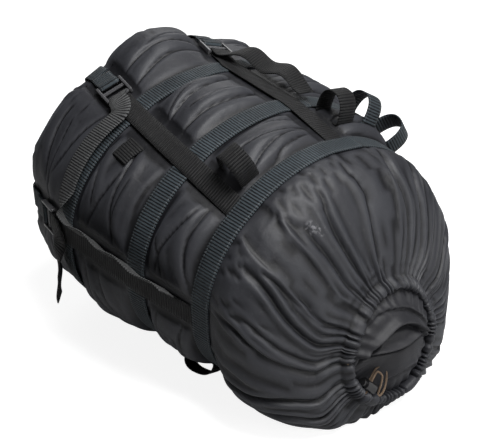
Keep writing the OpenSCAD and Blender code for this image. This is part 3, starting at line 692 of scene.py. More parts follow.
def tubeCreases(draw, x, t):
    look, fold = tubeCrease, np.zeros(x.shape)
    for k in range(strapCount):
        for first, last, count in clothLook["sections"]:
            for i in range(count + int(draw.integers(0, 2))):
                at = lerp(first, last, (i + draw.uniform(*look["at"])) / (count + 0.5))
                a0, a1 = float(strapAngle(k, at)), float(strapAngle(k + 1, at))
                middle = lerp(a0, a1, draw.uniform(*look["middle"]))
                half = (a1 - a0) * draw.uniform(*look["half"])
                slope, deep = draw.uniform(*look["slope"]), draw.uniform(*look["deep"])
                side, width = draw.choice([-1, 1]), draw.uniform(*look["width"])
                fold += roundCrease(x, t, at, middle, half, slope, deep, side, width)
    return fold


def endCreases(draw, t, inner):
    fold = np.zeros(t.shape)
    radius = clothLook["endR"] * np.sqrt(np.clip(1.03 - inner**2.5, 0, 1))
    for _ in range(clothLook["baseFolds"]):
        at, reach, drift, deep, width = (draw.uniform(*ends) for ends in endCrease.values())
        d = np.abs(turnFrom(t, at + drift * inner)) * radius
        lit = np.clip(inner * 4, 0, 1) * np.clip((reach - inner) * 5, 0, 1)
        fold += deep * lit * valley(d, width, 0.7, 2.2 * width, 1.6 * width)
    return fold


def mouthFold(s, t, turn, reach, drift, deep, width):
    # runs up from the mouth, narrow where it is gathered and wide where it opens out
    centre = turn + drift * (1 - s) ** 1.4 + 0.03 * np.sin(s * 9 + turn * 5)
    d = np.abs(turnFrom(t, centre)) * lerp(*clothLook["skirtR"], s)
    w = lerp(0.72 * width, 1.9, s ** 0.7)
    fade = ease(np.clip((s - reach) / 0.3, 0, 1))
    return deep * fade * lerp(1, 0.75, s) * valley(d, w, 0.75, 2.3 * w, 1.5 * w)


pinchLook = {"deep": 1.2, "turn": 85, "wide": 0.7}


def unevenMouth(t):
    # the gathered edge is drawn in on the near side and is never quite round
    pinch = -pinchLook["deep"] * np.exp(-(((t - math.radians(pinchLook["turn"])) / pinchLook["wide"]) ** 2))
    inward = pinch + 0.7 * np.cos(3 * t + 0.8)
    outward = 2.2 * np.cos(2 * t - 1.2) + 1.3 * np.cos(5 * t + 2)
    zero = mouthPoint(0, 0, 0)
    across = mouthPoint(-np.cos(t), -np.sin(t), 0) - zero
    return inward[:, None] * across + outward[:, None] * (mouthPoint(0, 0, 1) - zero)


def buildCloth():
    domeS, domeT, domeP = domeRings()
    tubeX, tubeT, tubeP = tubeRings()
    skirtS, skirtT, skirtP = skirtRings()
    mouthT = skirtT[-1]
    hemT, hemP = hemRings(mouthT)
    p = np.concatenate([domeP[::-1], tubeP, skirtP, hemP])
    t = np.concatenate([domeT[::-1], tubeT, skirtT, hemT])
    nd, nt, ns, nh = len(domeP), len(tubeP), len(skirtP), len(hemP)
    pull = np.r_[np.zeros(nd + nt), np.clip((skirtS - 0.72) / 0.28, 0, 1) ** 2, np.ones(nh)]
    p = p + pull[:, None, None] * unevenMouth(mouthT)[None]
    n, x = gridNormals(p, nd + nt // 2), p[..., 0]
    swell = np.zeros(x.shape)
    swell[nd:nd + nt] = np.clip(tubeSwell(tubeX)[:, None] * 1.4, 0, 1) * np.clip(panelSwell * 1.6, 0, 1)[None]
    swell[:nd] = ((1 - domeS[::-1]) * 0.9)[:, None] * np.clip(panelSwell * 1.4, 0, 1)[None]
    draw = np.random.default_rng(clothLook["seed"])
    soft = SoftNoise(clothLook["seed"])
    turn = t / (2 * math.pi) * noiseCells
    fold = (tubeCreases(draw, x, t) + clothLook["tubeRipple"] * soft.at(turn * 0.5, x * 0.03)) * swell
    # how far in over the closed end, and how far down the skirt to the mouth
    inner = np.r_[domeS[::-1], np.clip(1 - (tubeX - shoulderX) / 30, 0, 1) * 0.05, np.zeros(ns + nh)][:, None]
    share = np.r_[np.zeros(nd + nt), skirtS, np.ones(nh)][:, None]
    fold += endCreases(draw, t, inner)
    ripple = clothLook["endRipple"] * soft.at(turn * 0.4, inner * 7 + 20)
    fold += ripple * np.clip(inner * 2, 0, 1) * np.clip((1 - inner) * 4, 0, 1)
    # folds that run to the mouth
    long = np.zeros(x.shape)
    thin = [[draw.uniform(*ends) for ends in clothLook["thinRange"]] for _ in range(clothLook["thinFolds"])]
    for turnAt, reach, drift, deep, width in clothLook["mouthFolds"] + thin:
        long += mouthFold(share, mouthT[None], math.radians(turnAt), reach, math.radians(drift), deep, width)
    lengths = np.r_[0, np.cumsum(np.linalg.norm(np.diff(p, axis=0), axis=-1).mean(1))]
    edge = (lengths[nd + nt + ns + 4] - lengths)[:, None]
    long *= np.clip((edge - 4) / 30, 0.35, 1) * np.clip(share * 12, 0, 1)
    # small gathers over the cord channel
    turn = np.where(share > 0, mouthT[None] / (2 * math.pi) * noiseCells, turn)
    phase = turn / noiseCells * math.pi * clothLook["gatherCount"]
    phase = phase + 2.6 * soft.at(turn * 0.9, 3.5) + 0.8 * soft.at(turn * 0.8, x * 0.02)
    ruffle = np.abs(np.sin(phase)) ** clothLook["gatherSharp"] - clothLook["gatherDrop"]
    channel = clothLook["channel"]
    reach = channel + clothLook["gatherReach"] * (0.8 + soft.at(turn * 1.9, 9.1))
    near = np.clip(1 - np.maximum(edge - channel * 0.8, 0) / reach, 0, 1) ** 1.5 * (edge < 110)
    fold += long + clothLook["gather"] * (1 + 0.5 * soft.at(turn * 0.7, 30.5)) * ruffle * near
    for line in (channel, channel - clothLook["stitchApart"]):
        groove = np.exp(-(((edge - line) / clothLook["stitchWide"]) ** 2))
        fold -= clothLook["stitchDeep"] * groove * (share > 0)
    moved = p + fold[..., None] * n
    moved[..., 2] = np.maximum(moved[..., 2], clothLook["floor"])
    uv = np.stack([t * clothLook["girthR"], np.broadcast_to(lengths[:, None], t.shape)], -1)
    # where bands, beds and the sewn edge hold the cloth
    held = 1 - np.clip(swell * 1.2, 0, 1)
    held[nd + nt:] = np.clip(1 - share[nd + nt:] * 14, 0, 1)
    held[edge[:, 0] < 34] = 1
    held[:4] = 1
    return moved, uv, held, share, (nd, nt, ns, nh)


clothPoints, clothMap, clothHeld, mouthShare, (nd, nt, ns, nh) = buildCloth()
hemFrom = nd + nt + ns - 7

settleLook = {"frames": 16, "drawn": 10, "long": 1.008, "mouth": 1.06, "hold": 0.3, "tension": 12, "bend": 9.0,
              "shear": 4, "mass": 0.2, "air": 4, "quality": 5, "cap": 6.0}


def between(v, wrap):
    # twice as many rows, cubic between the old ones
    if wrap:
        a, b, c, d = np.roll(v, 1, 0), v, np.roll(v, -1, 0), np.roll(v, -2, 0)
    else:
        w = np.concatenate([v[:1], v, v[-1:], v[-1:]])
        a, b, c, d = w[:-3], w[1:-2], w[2:-1], w[3:]
    return np.stack([b, (9 * (b + c) - a - d) / 16], 1).reshape(-1, *v.shape[1:])


def settleCloth(fullPoints):
    # cut larger than the load it is drawn over, the cloth buckles into folds as it is drawn in
    points, share, grip = (v[:len(fullPoints) // 2 * 2:2] for v in (fullPoints, mouthShare, clothHeld))
    points, grip = points[:, ::2].copy(), grip[:, ::2]
    rows, wide = points.shape[:2]
    cut = points.copy()
    rear = cut[..., 0] < frontX
    cut[rear, 0] = frontX + (cut[rear, 0] - frontX) * settleLook["long"]
    middle = points[..., 1:].mean(1, keepdims=True)
    cut[..., 1:] = middle + (cut[..., 1:] - middle) * lerp(1, settleLook["mouth"], share)[..., None]
    obj = makeObject("clothTrial", cut, gridFaces(rows, wide))
    obj.shape_key_add(name="cut")
    key = obj.shape_key_add(name="drawn")
    key.data.foreach_set("co", (points * mm).astype(np.float32).ravel())
    for frameAt, value in ((1, 0), (settleLook["drawn"], 1)):
        key.value = value
        key.keyframe_insert("value", frame=frameAt)
    held = obj.vertex_groups.new(name="held")
    weight = lerp(settleLook["hold"], 1.0, grip).ravel()
    for i in range(len(weight)):
        held.add([i], float(weight[i]), "REPLACE")
    mod = obj.modifiers.new("settle", "CLOTH")
    cloth = mod.settings
    cloth.quality, cloth.mass, cloth.air_damping = (settleLook[name] for name in ("quality", "mass", "air"))
    cloth.tension_stiffness = cloth.compression_stiffness = settleLook["tension"]
    cloth.shear_stiffness, cloth.bending_stiffness = settleLook["shear"], settleLook["bend"]
    cloth.vertex_group_mass, cloth.pin_stiffness = "held", 1.0
    cloth.effector_weights.gravity = 0
    mod.collision_settings.use_collision = mod.collision_settings.use_self_collision = False
    mod.point_cache.frame_start, mod.point_cache.frame_end = 1, settleLook["frames"]
    scene = bpy.context.scene
    scene.frame_start, scene.frame_end = 1, settleLook["frames"]
    for i in range(1, settleLook["frames"] + 1):
        scene.frame_set(i)
        done = obj.evaluated_get(bpy.context.evaluated_depsgraph_get()).to_mesh()
    flat = np.empty(len(done.vertices) * 3, np.float32)
    done.vertices.foreach_get("co", flat)
    scene.frame_set(1)
    bpy.data.objects.remove(obj)
    shift = flat.reshape(points.shape) / mm - points
    size = np.linalg.norm(shift, axis=-1, keepdims=True)
    print("cloth settled, mean", round(float(size.mean()), 2), "most", round(float(size.max()), 2), "mm")
    shift = between(shift * np.minimum(1, settleLook["cap"] / np.maximum(size, 1e-6)), False)
    shift = np.swapaxes(between(np.swapaxes(shift, 0, 1), True), 0, 1)
    done = fullPoints.copy()
    done[:len(shift)] += shift
    return done


clothPoints = settleCloth(clothPoints)
clothPoints[..., 2] = np.maximum(clothPoints[..., 2], clothLook["floor"])


def smoothOnce(obj):
    smooth = obj.modifiers.new("smooth", "SUBSURF")
    smooth.levels = smooth.render_levels = 1
    applyModifiers(obj)


ringReach = 0.03  # metres


def closeRing(obj, centre):
    # fan over the open ring nearest the centre
    work = bmesh.new()
    work.from_mesh(obj.data)
    tip = work.verts.new(Vector(centre * mm))
    near = [e for e in work.edges if e.is_boundary and (e.verts[0].co - tip.co).length < ringReach]
    for edge in near:
        a, b = edge.verts
        loop = edge.link_loops[0]
        face = work.faces.new((b, a, tip) if loop.vert == a else (a, b, tip))
        face.smooth = True
    work.to_mesh(obj.data)
    work.free()


# reach in columns or rings and gain for each, and how much more the tube's creases show in the painted shade
hollowLook = {"reaches": ((1, 2.8), (3, 0.55)), "tubeGain": 2.2}


def findCreases(p):
    # how far in the cloth lies at each point, from -1 on a ridge to 1 in a crease; it sets the painted shade in
    # creases and the lighter tone on ridges
    n = gridNormals(p, nd + nt // 2)
    total = np.zeros(p.shape[:2])
    for reach, gain in hollowLook["reaches"]:
        pad = np.concatenate([p[:1]] * reach + [p] + [p[-1:]] * reach)
        ends = np.roll(p, reach, 1), np.roll(p, -reach, 1), pad[2 * reach:], pad[:-2 * reach]
        total += gain * np.sum((sum(ends) / 4 - p) * n, -1)
    total[nd:nd + nt] *= hollowLook["tubeGain"]
    total[:3] = total[-5:] = 0
    return np.clip(total, -1, 1)


creases = findCreases(clothPoints)


def clothPiece(name, first, last, body, nodes):
    uv = clothMap[first:last].reshape(-1, 2)
    obj = makeObject(name, clothPoints[first:last], gridFaces(last - first, cols), uv, nylon, body)
    # the crease measure, from which the nylon paints shade into its creases
    layer = obj.data.attributes.new("crease", "FLOAT", "POINT")
    layer.data.foreach_set("value", creases[first:last].astype(np.float32).ravel())
    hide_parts(*nodes)
    return obj


tubeCloth = clothPiece("tubeCloth", nd, nd + nt, "sack", ["sack_tube"])
skirtCloth = clothPiece("skirtCloth", nd + nt - 1, hemFrom + 1, "sack", ["mouth_skirt"])
hemCloth = clothPiece("hemCloth", hemFrom, nd + nt + ns + nh, "sack", ["drawcord_hem"])
baseCloth = clothPiece("baseCloth", 0, nd + 1, "base", ["base_cap"])
for piece in (tubeCloth, skirtCloth, hemCloth, baseCloth):
    fixNormals(piece)
    if piece is not tubeCloth:
        smoothOnce(piece)
closeRing(baseCloth, clothPoints[0].mean(0))
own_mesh(tubeCloth)

# the load inside, clear of the cloth: its share of the girth, and the rings and columns it takes up
loadLook = {"frontShare": 0.84, "share": 0.9, "ringStep": 3, "colStep": 4, "fromEnd": 4, "fromHem": 6}
fillRows = [*range(loadLook["fromEnd"], nd), *range(nd, nd + nt, loadLook["ringStep"]),
            *range(nd + nt, hemFrom - loadLook["fromHem"], loadLook["ringStep"])]
fillPoints = clothPoints[fillRows][:, ::loadLook["colStep"]].copy()
core = fillPoints.mean(1, keepdims=True)
drawnIn = np.where(core[..., :1] > frontX, loadLook["frontShare"], loadLook["share"])
fillPoints = core + (fillPoints - core) * drawnIn
wide = fillPoints.shape[1]
fillFaces = list(gridFaces(len(fillRows), wide))
fillFaces += [list(range(wide))[::-1], [(len(fillRows) - 1) * wide + j for j in range(wide)]]
packedLoad = makeObject("packedLoad", fillPoints, fillFaces, None, stuffing, "sack")
fixNormals(packedLoad)
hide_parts("packed_fill")
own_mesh(packedLoad)
print("cloth made:", len(clothPoints), "rings of", cols)


flapLook = {
    "flat": 0.138,  # across as cut, in metres
    "radius": 62.4, "rim": -5, "rise": 15, "rings": 44, "cols": 160, "seed": 5,
    "puff": 1.8, "gather": 5.0, "gatherFrom": 0.62, "gatherCount": 26,
    "dent": (31, -35, 30, 19),  # down, across, spread and depth
    # down from the middle, bow, where it bows from, depth and width
    "folds": [(-47, 0.012, -12, 4.0, 2.4), (-21, 0.011, -6, 10.5, 3.0), (6, -0.003, 8, 8.0, 2.2),
              (38, 0.008, 16, 2.6, 2.6)],
}


def buildFlap():
    # drawn into the mouth, puffed by the load and folded over itself
    look = flapLook
    r = np.linspace(0, 1, look["rings"] + 1)[1:, None]
    a = np.linspace(0, 2 * math.pi, look["cols"], endpoint=False)[None]
    x, y = look["radius"] * r * np.cos(a), look["radius"] * r * np.sin(a)
    hold = 1 - r**4
    puff = SoftNoise(look["seed"])
    z = look["rim"] + look["rise"] * hold + look["puff"] * puff.at(x * 0.05 + 9, y * 0.05 + 4) * hold
    gather = np.cos(a * look["gatherCount"] + 2 * puff.at(a * 3, 1.0))
    z = z - look["gather"] * np.clip(r - look["gatherFrom"], 0, 1) * gather
    for level, bow, tip, deep, width in look["folds"]:
        line = x - level - bow * (y - tip) ** 2 - 3 * puff.at(y * 0.04 + 3, level)
        z = z + hold * deep * valley(line, width, 0.9, -2.2 * width, 1.5 * width)
    down, across, spread, deep = look["dent"]
    z = z - deep * np.exp(-(((x - down) ** 2 + (y - across) ** 2) / spread**2))
    top = mouthPoint(0, 0, z[0].mean()).reshape(3)
    faces = gridFaces(look["rings"], look["cols"])
    return mouthPoint(x, y, z).reshape(-1, 3), faces, np.stack([x, y], -1).reshape(-1, 2), top


flapPoints, flapFaces, flapMap, flapTop = buildFlap()
stormFlap = makeObject("stormFlap", flapPoints, flapFaces, flapMap, flapNylon, "sack")
fixNormals(stormFlap)
smoothOnce(stormFlap)
closeRing(stormFlap, flapTop)
fixNormals(stormFlap)
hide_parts("storm_flap")
print("storm flap made")


def bend(a, b, c, d, u):
    # a smooth run from b to c, with a before them and d after
    return 0.5 * (2 * b + (c - a) * u + (2 * a - 5 * b + 4 * c - d) * u**2 + (3 * b - a - 3 * c + d) * u**3)


def spreadStations(stations, step):
    # a smooth run through the stations, re-cut at an even step
    m, a, o = (np.array(rows, float) for rows in zip(*stations))
    n = len(m)
    d = np.r_[0, np.cumsum(np.linalg.norm(np.diff(m, axis=0), axis=1))]
    want = np.linspace(0, d[-1], max(3, int(d[-1] / step) + 1))
    i = np.clip(np.searchsorted(d, want, side="right") - 1, 0, n - 2)
    u = ((want - d[i]) / np.maximum(d[i + 1] - d[i], 1e-9))[:, None]

    def curve(v):
        return bend(v[np.maximum(i - 1, 0)], v[i], v[np.minimum(i + 1, n - 1)], v[np.minimum(i + 2, n - 1)], u)

    mid, across, out = curve(m), unit(curve(a)), curve(o)
    return mid, across, unit(out - np.sum(out * across, -1, keepdims=True) * across)


# the webbing's section, in half widths and thicknesses, with rounded edges
webAcross = [-0.96, -0.5, 0, 0.5, 0.96]
webProfile = np.array([(v, 0) for v in webAcross] + [(1, 0.5)]
                      + [(v, 1) for v in webAcross[::-1]] + [(-1, 0.5)])


def webbing(name, stations, material, body, node, step=3.0, closed=False):
    # each station is a point, the way across the webbing and the way out of it
    if closed:
        mid, across, out = (np.array(rows, float) for rows in zip(*stations))
    else:
        mid, across, out = spreadStations(stations, step)
    v, w = webProfile[:, 0] * webWidth / 2, webProfile[:, 1] * webThick
    p = mid[:, None] + across[:, None] * v[None, :, None] + out[:, None] * w[None, :, None]
    n, c = len(mid), len(webProfile)
    length = np.r_[0, np.cumsum(np.linalg.norm(np.diff(mid, axis=0), axis=1))]
    uv = np.stack(np.broadcast_arrays(length[:, None], v[None]), -1)
    faces = list(gridFaces(n, c))
    if closed:
        faces += [[(n - 1) * c + j, (n - 1) * c + (j + 1) % c, (j + 1) % c, j] for j in range(c)]
    else:
        faces += [list(range(c))[::-1], [(n - 1) * c + j for j in range(c)]]
    obj = makeObject(name, p, faces, uv.reshape(-1, 2), material, body)
    fixNormals(obj)
    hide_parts(node)
    return obj


def bandStations(x, o):
    # round the sack on the same bed as the cloth, flat across each strap
    at, t = np.full(cols, x), columnAngles(np.array([x]))[0]
    left, right = (bed(at, a[0])[None] for a in edgeAngles(np.array([x])))
    p, n = flatten(bed(at, t)[None], left, right)[0], outDir(at, t)
    return list(zip(p + o * n, unit(bed(at + 5, t) - bed(at - 5, t)), n))


bands = {"rear": (rearX, bandGap, "rear_band_body"), "middle": (middleX, bandGap, "middle_band_body"),
         "front": (frontX, overBand, "sack")}
for name, (x, o, body) in bands.items():
    webbing(f"{name}Band", bandStations(x, o), bandWeb, body, f"{name}_band", closed=True)


def lockFrame(k):
    # u runs up the strap from the anchor bar, v across it, w out of it
    drop = (strapPoint(k, anchorX + barGap, 0, 0) - strapPoint(k, anchorX, 0, 0)) @ bedOut(k, anchorX) / barGap
    rise = lockHeight * math.sqrt(1 + drop * drop)
    o = strapPoint(k, anchorX, 0, rise)
    u = unit(strapPoint(k, anchorX + barGap, 0, rise) - o)
    w = unit(np.cross(bedAcross(k, anchorX + barGap / 2), u))
    return o, u, np.cross(w, u), w


def lockPoint(k, u, v, w):
    o, a, b, c = lockFrame(k)
    return o + u * a + v * b + w * c


def strapStations(k):
    # under the front band, over the other two and down to the lock's bar
    half, ramp = webWidth / 2, 8
    x = np.array([frontX + half - 3, frontX, frontX - half, frontX - half - 14, middleX + half + ramp, middleX,
                  middleX - half - ramp, (rearX + middleX) / 2, rearX + half + ramp, rearX, rearX - half - 1])
    o = np.interp(x, [middleX + half + ramp, frontX - half], [overBand, softGap])
    rows = [(strapPoint(k, xi, 0, oi), bedAcross(k, xi), bedOut(k, xi)) for xi, oi in zip(x, o)]
    _, _, v, w = lockFrame(k)
    return rows + [(lockPoint(k, barGap + 4 * softGap, 0, -wrapIn - webThick), -v, w)]


for k in range(strapCount):
    name, node = f"compressionStrap{k + 1}", f"compression_strap_{k + 1}"
    strap = webbing(name, strapStations(k), strapWeb, "sack", node)
    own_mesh(strap)


def halfTurn(o, u, v, w, r):
    # round a bar, from under it to over it
    return [(o + r * math.cos(q) * u + r * math.sin(q) * w, v, math.cos(q) * u + math.sin(q) * w)
            for q in np.radians(np.arange(-90, 91, 22.5))]


def wrapTurn(k):
    o, u, v, w = lockFrame(k)
    return halfTurn(o + barGap * u, -u, v, w, wrapIn)


def roundSkin(x, t):
    d = bed(x, t + 0.009) - bed(x, t - 0.009)
    return unit([0, d[1], d[2]])


def onSkin(x, t, o):
    return bed(x, t) + o * outDir(x, t)


def station(p, a, o):
    a = unit(a)
    o = unit(np.asarray(o) - (np.asarray(o) @ a) * a)
    return p, a, o


# free ends: straight ones by strap, the wavy one at the top, the low one and the hanging one
tailLook = {"from": 9, "flatEnd": (rearX + middleX) / 2 + 10, "flatRise": {3: 0, 4: 0, 5: 2, 6: 2},
            "wavyEnd": middleX + 3, "wave": 9, "aside": 19, "hang": 72, "grey": 1,
            "turnR": webWidth / 2 + 4.5, "turnLong": 5}
turnR, turnLong = tailLook["turnR"], tailLook["turnLong"]
tailFrom = anchorX + barGap + tailLook["from"]


def flatTail(k):
    n, rows = 22, []
    for i in range(n + 1):
        x = lerp(tailFrom, tailLook["flatEnd"], i / n)
        wave = tailLook["flatRise"][k] * (1 - math.cos(math.radians(i * 95))) / 2
        o = overBand + webThick + 2 * softGap + wave + 1.4 * math.exp(-i / 2)
        rows.append(station(strapPoint(k, x, 0, o), -bedAcross(k, x), bedOut(k, x)))
    return rows


def wavyTail(k):
    n, rows = 26, []
    for i in range(n + 1):
        s = i / n
        x = lerp(tailFrom, tailLook["wavyEnd"], s)
        o = 2 * overBand + webThick + tailLook["wave"] * math.sin(2 * math.pi * s) ** 2 + 7 * s
        aside = -tailLook["aside"] * math.sin(math.pi / 2 * min(1, 2.4 * s))
        e, u = bedAcross(k, x), bedOut(k, x)
        a = unit(-e + 0.5 * math.sin(math.pi * s) * u)
        rows.append(station(strapPoint(k, x, aside, o + 6 * math.sin(math.pi * s)), a, u))
    return rows


def lean(x, t):
    return unit(outDir(x, t) - 0.7 * roundSkin(x, t))


def lowTail(k):
    # turns down off its lock, lies round the sack, then runs on its edge beside the next strap
    ahead = np.array([1.0, 0, 0])
    t0, t1 = strapAngle(k, rearX), strapAngle(k + 1, rearX) - bedAngle
    x0 = anchorX + barGap + 7
    xm, o = x0 + turnR + turnLong, lockHeight + wrapIn + 0.6
    dt, one = turnR / sack["halfWidth"][1], math.radians(1)
    ta, tb, up, shift = t0 + dt + one, t1 - 11 * one, webWidth * 0.35, 16
    rows = []
    for a in np.radians(np.arange(0, 91, 15)):
        x, t = x0 + (turnR + turnLong) * math.sin(a), t0 + one + dt * (1 - math.cos(a))
        rows.append(station(onSkin(x, t, o), math.sin(a) * ahead - math.cos(a) * roundSkin(x, t), outDir(x, t)))
    for i in range(1, 10):
        t, x = lerp(ta, tb, i / 9), xm - 4 * math.sin(math.radians(i * 20))
        rows.append(station(onSkin(x, t, o), ahead, outDir(x, t)))
    for i in range(1, 8):
        s = i / 7
        t, x = lerp(tb, t1 - one, math.sin(math.pi / 2 * s)), xm + shift * (1 - math.cos(math.pi / 2 * s))
        a = unit(lerp(ahead, lean(x, t), s))
        rows.append(station(onSkin(x, t, o + up * s), a, lerp(outDir(x, t), roundSkin(x, t), s)))
    for i in range(1, 13):
        x = lerp(xm + shift, frontX - bandEdge - 14, i / 12)
        t = strapAngle(k + 1, x) - bedAngle - one + 0.8 * one * math.sin(math.pi / 2 * i)
        rows.append(station(onSkin(x, t, o + up), lean(x, t), roundSkin(x, t)))
    return rows


def hangTail(k):
    # turns off its lock and hangs, swinging a little
    p, o = lockPoint(k, barGap + tailLook["from"], 0, wrapIn), bedOut(k, rearX)
    v, rows = lockFrame(k)[2], []
    for a in np.radians(np.arange(0, 91, 15)):
        q = p + turnR * np.array([math.sin(a), 0, math.cos(a) - 1]) + turnLong * math.sin(a) * o
        rows.append(station(q, math.sin(a) * np.array([1, 0, 0]) + math.cos(a) * v, o))
    for i in range(1, 11):
        s = i / 10
        a = math.radians(42 * min(1, 2 * s))
        swing = turnLong + 7 * math.sin(math.radians(110 * s)) + 2 * math.sin(math.radians(480 * s))
        q = p + turnR * np.array([1, 0, -1]) - np.array([0, 0, tailLook["hang"] * s]) + swing * o
        rows.append(station(q, [math.cos(a), -math.sin(a), 0], [-math.sin(a), -math.cos(a), 0]))
    return rows


tailRuns = {0: wavyTail, 1: lowTail, 2: hangTail}
for k in range(strapCount):
    run = wrapTurn(k) + tailRuns.get(k, flatTail)(k)
    look = greyWeb if k == tailLook["grey"] else strapWeb
    tail = webbing(f"strapTail{k + 1}", run, look, None, f"strap_tail_{k + 1}", step=2.5)
    o, u, v, w = lockFrame(k)
    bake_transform(tail)
print("straps, bands and tails made")


# along the closed end, then back from the bar, with the height of the end that is sewn down
stubLook = {"end": (0.6, 0.52, 0.42, 0.3, 0.15, 0.0), "endShift": 3.0, "under": (-20, -12, -5), "loose": 0.05,
            "back": ((-4, 1.7), (-8, 0.2), (-12, -1.6), (-18, -1.95), (-24, -1.95))}


def stubStations(k):
    # down from the dome, round the anchor bar and back on itself
    o, u, v, w = lockFrame(k)
    t = float(strapAngle(k, shoulderX))
    r, rows = barR + stubLook["loose"], []
    for s in stubLook["end"]:
        f = (1 - s ** (2 / sack["domeRound"])) ** (sack["domeRound"] / 2)
        p, q = (domePoint(s, f, t, lockHeight - r - inside) for inside in (0, 1))
        shift = np.array([stubLook["endShift"] if s == 0 else 0, 0, 0])
        rows.append(station(p + shift, bedAcross(k, shoulderX), q - p))
    rows += [(o + d * u - r * w, v, -w) for d in stubLook["under"]]
    return rows + halfTurn(o, u, v, w, r) + [(o + d * u + h * w, v, w) for d, h in stubLook["back"]]


for k in range(strapCount):
    webbing(f"lockStub{k + 1}", stubStations(k), bandWeb, "base", f"lock_stub_{k + 1}", step=1.6)


def addBox(work, lo, hi):
    lo, hi = np.array(lo, float), np.array(hi, float)
    for v in bmesh.ops.create_cube(work, size=1)["verts"]:
        v.co = Vector((lo + hi) / 2) + Vector(v.co[i] * (hi - lo)[i] for i in range(3))


def addRod(work, x, radius, length, flat=1.0):
    lie = Matrix.Rotation(math.pi / 2, 4, "X")
    made = bmesh.ops.create_cone(work, cap_ends=True, segments=20, radius1=radius, radius2=radius,
                                 depth=length, matrix=lie)
    for v in made["verts"]:
        v.co.z *= flat
        v.co.x += x


# two slim bars in the middle grip the strap
gripLook = {"at": barGap * 0.46, "apart": 2.7, "radius": 1.25, "tall": 1.15, "sunk": 1.5}


def buildLock(k):
    work = bmesh.new()
    h = lockLook["railHeight"] / 2
    for side in (-1, 1):
        lo, hi = sorted((side * railIn, side * (railIn + lockLook["railWidth"])))
        addBox(work, (-h, lo, -h), (barGap + h, hi, h))
    bmesh.ops.bevel(work, geom=work.edges[:], offset=lockLook["bevel"], segments=3, profile=0.6, affect="EDGES")
    barLong = 2 * railIn + gripLook["sunk"]
    for x in (0, barGap):
        addRod(work, x, barR, barLong)
    for side in (-0.5, 0.5):
        addRod(work, gripLook["at"] + side * gripLook["apart"], gripLook["radius"], barLong, gripLook["tall"])
    o, u, v, w = lockFrame(k)
    turn = Matrix((u, v, w)).transposed().to_4x4()
    turn.translation = Vector(o)
    bmesh.ops.transform(work, matrix=turn, verts=work.verts[:])
    mesh = bpy.data.meshes.new(f"ladderLock{k + 1}")
    bmesh.ops.scale(work, vec=(mm, mm, mm), verts=work.verts[:])
    work.to_mesh(mesh)
    work.free()
    mesh.polygons.foreach_set("use_smooth", np.ones(len(mesh.polygons), bool))
    mesh.set_sharp_from_angle(angle=math.radians(40))
    obj = addToScene(mesh.name, mesh, lockPlastic, f"lock_{k + 1}")
    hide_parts(f"ladder_lock_{k + 1}")


for k in range(strapCount):
    buildLock(k)
print("ladder locks made")


# each loop: 1 behind the front band or 0 ahead of the middle one, panel and column of the wall,
# and the gaps under its feet
loopPlaces = [(0, 6, 6, 6), (1, 0, 6, 3), (1, 2, 6, 3), (0, 6, 4, 3), (1, 6, 2, 3)]
loopLook = {"long": 38, "high": [34, 34, 18, 34, 34], "tack": 1.8, "bandWebbed": (3, 4)}
# the puffed wall of the tube's solid: columns between two straps, stations along it, and how far each swells
colShare = [0, 0, 0.12, 0.32, 0.5, 0.68, 0.88]
colSwell = [0, 0, 0.38, 0.82, 1, 0.82, 0.38]
puffEase, rearLong, wallTrim = 14, rearX - shoulderX, 0.2
frontEase = puffEase * (frontX - middleX) / (middleX - rearX)
tubeStations = [
    shoulderX + wallTrim, shoulderX + 0.18 * rearLong, shoulderX + 0.4 * rearLong,
    rearX - bandEdge - puffEase, rearX - bandEdge, rearX, rearX + bandEdge, rearX + bandEdge + puffEase,
    (rearX + middleX) / 2,
    middleX - bandEdge - puffEase, middleX - bandEdge, middleX, middleX + bandEdge,
    middleX + bandEdge + frontEase, (frontX + middleX) / 2,
    frontX - bandEdge - frontEase, frontX - bandEdge, frontX - wallTrim,
]
stationSwell = [0.9, 0.85, 0.65, 0.4, 0, 0, 0, 0.7, 1, 0.7, 0, 0, 0, 0.65, 1, 0.65, 0, 0]


def columnAngle(k, j, x):
    a0, a1 = strapAngle(k, x), strapAngle(k + 1, x)
    return a0 - bedAngle if j == 0 else a0 + bedAngle + (a1 - a0 - 2 * bedAngle) * colShare[j]


def wallPoint(i, k, j):
    x = tubeStations[i]
    t = columnAngle(k, j, x)
    p = bed(x, t) + sack["bulge"] * stationSwell[i] * colSwell[j] * outDir(x, t)
    p[2] = max(0, p[2])
    return p


def wallAt(x, k, j):
    if j >= len(colShare):
        k, j = k + 1, 0
    i = max(i for i in range(len(tubeStations) - 1) if tubeStations[i] <= x)
    a, b = wallPoint(i, k, j), wallPoint(i + 1, k, j)
    return lerp(a, b, (x - tubeStations[i]) / (tubeStations[i + 1] - tubeStations[i])), unit(b - a)


def loopFrame(i):
    front, k, j, rise = loopPlaces[i]
    half = loopLook["long"] / 2
    foot = bandEdge + loopLook["tack"] + half
    x = frontX - foot if front else middleX + foot
    a, b = wallAt(x - half, k, j)[0], wallAt(x + half, k, j)[0]
    d = unit(b - a)
    z = unit(np.cross(wallAt(x, k, j + 1)[0] - wallAt(x, k, j - 1)[0], d))
    return (a + b) / 2 + (loopLook["tack"] + rise * softGap) * z, d, np.cross(z, d), z


def loopStations(i):
    # a standing arch with its ends turned under and tacked down
    o, d, y, z = loopFrame(i)
    a = np.linspace(0.012, 0.988, 49) * math.pi
    c = np.cos(a)
    long, high = loopLook["long"] / 2 - webThick / 2, loopLook["high"][i] - loopLook["tack"] - webThick
    px, pz = -long * np.sign(c) * np.abs(c) ** 0.8, high * np.sin(a) ** 0.75
    under, drop = np.array([7, 3, 0.6]), np.array([-1.5, -1.5, -0.9])
    px = np.r_[px[0] + under, px, px[-1] - under[::-1]]
    pz = np.r_[drop, pz, drop[::-1]]
    tx, tz = np.gradient(px), np.gradient(pz)
    return [(o + px[q] * d + pz[q] * z, y, unit(-tz[q] * d + tx[q] * z)) for q in range(len(px))]


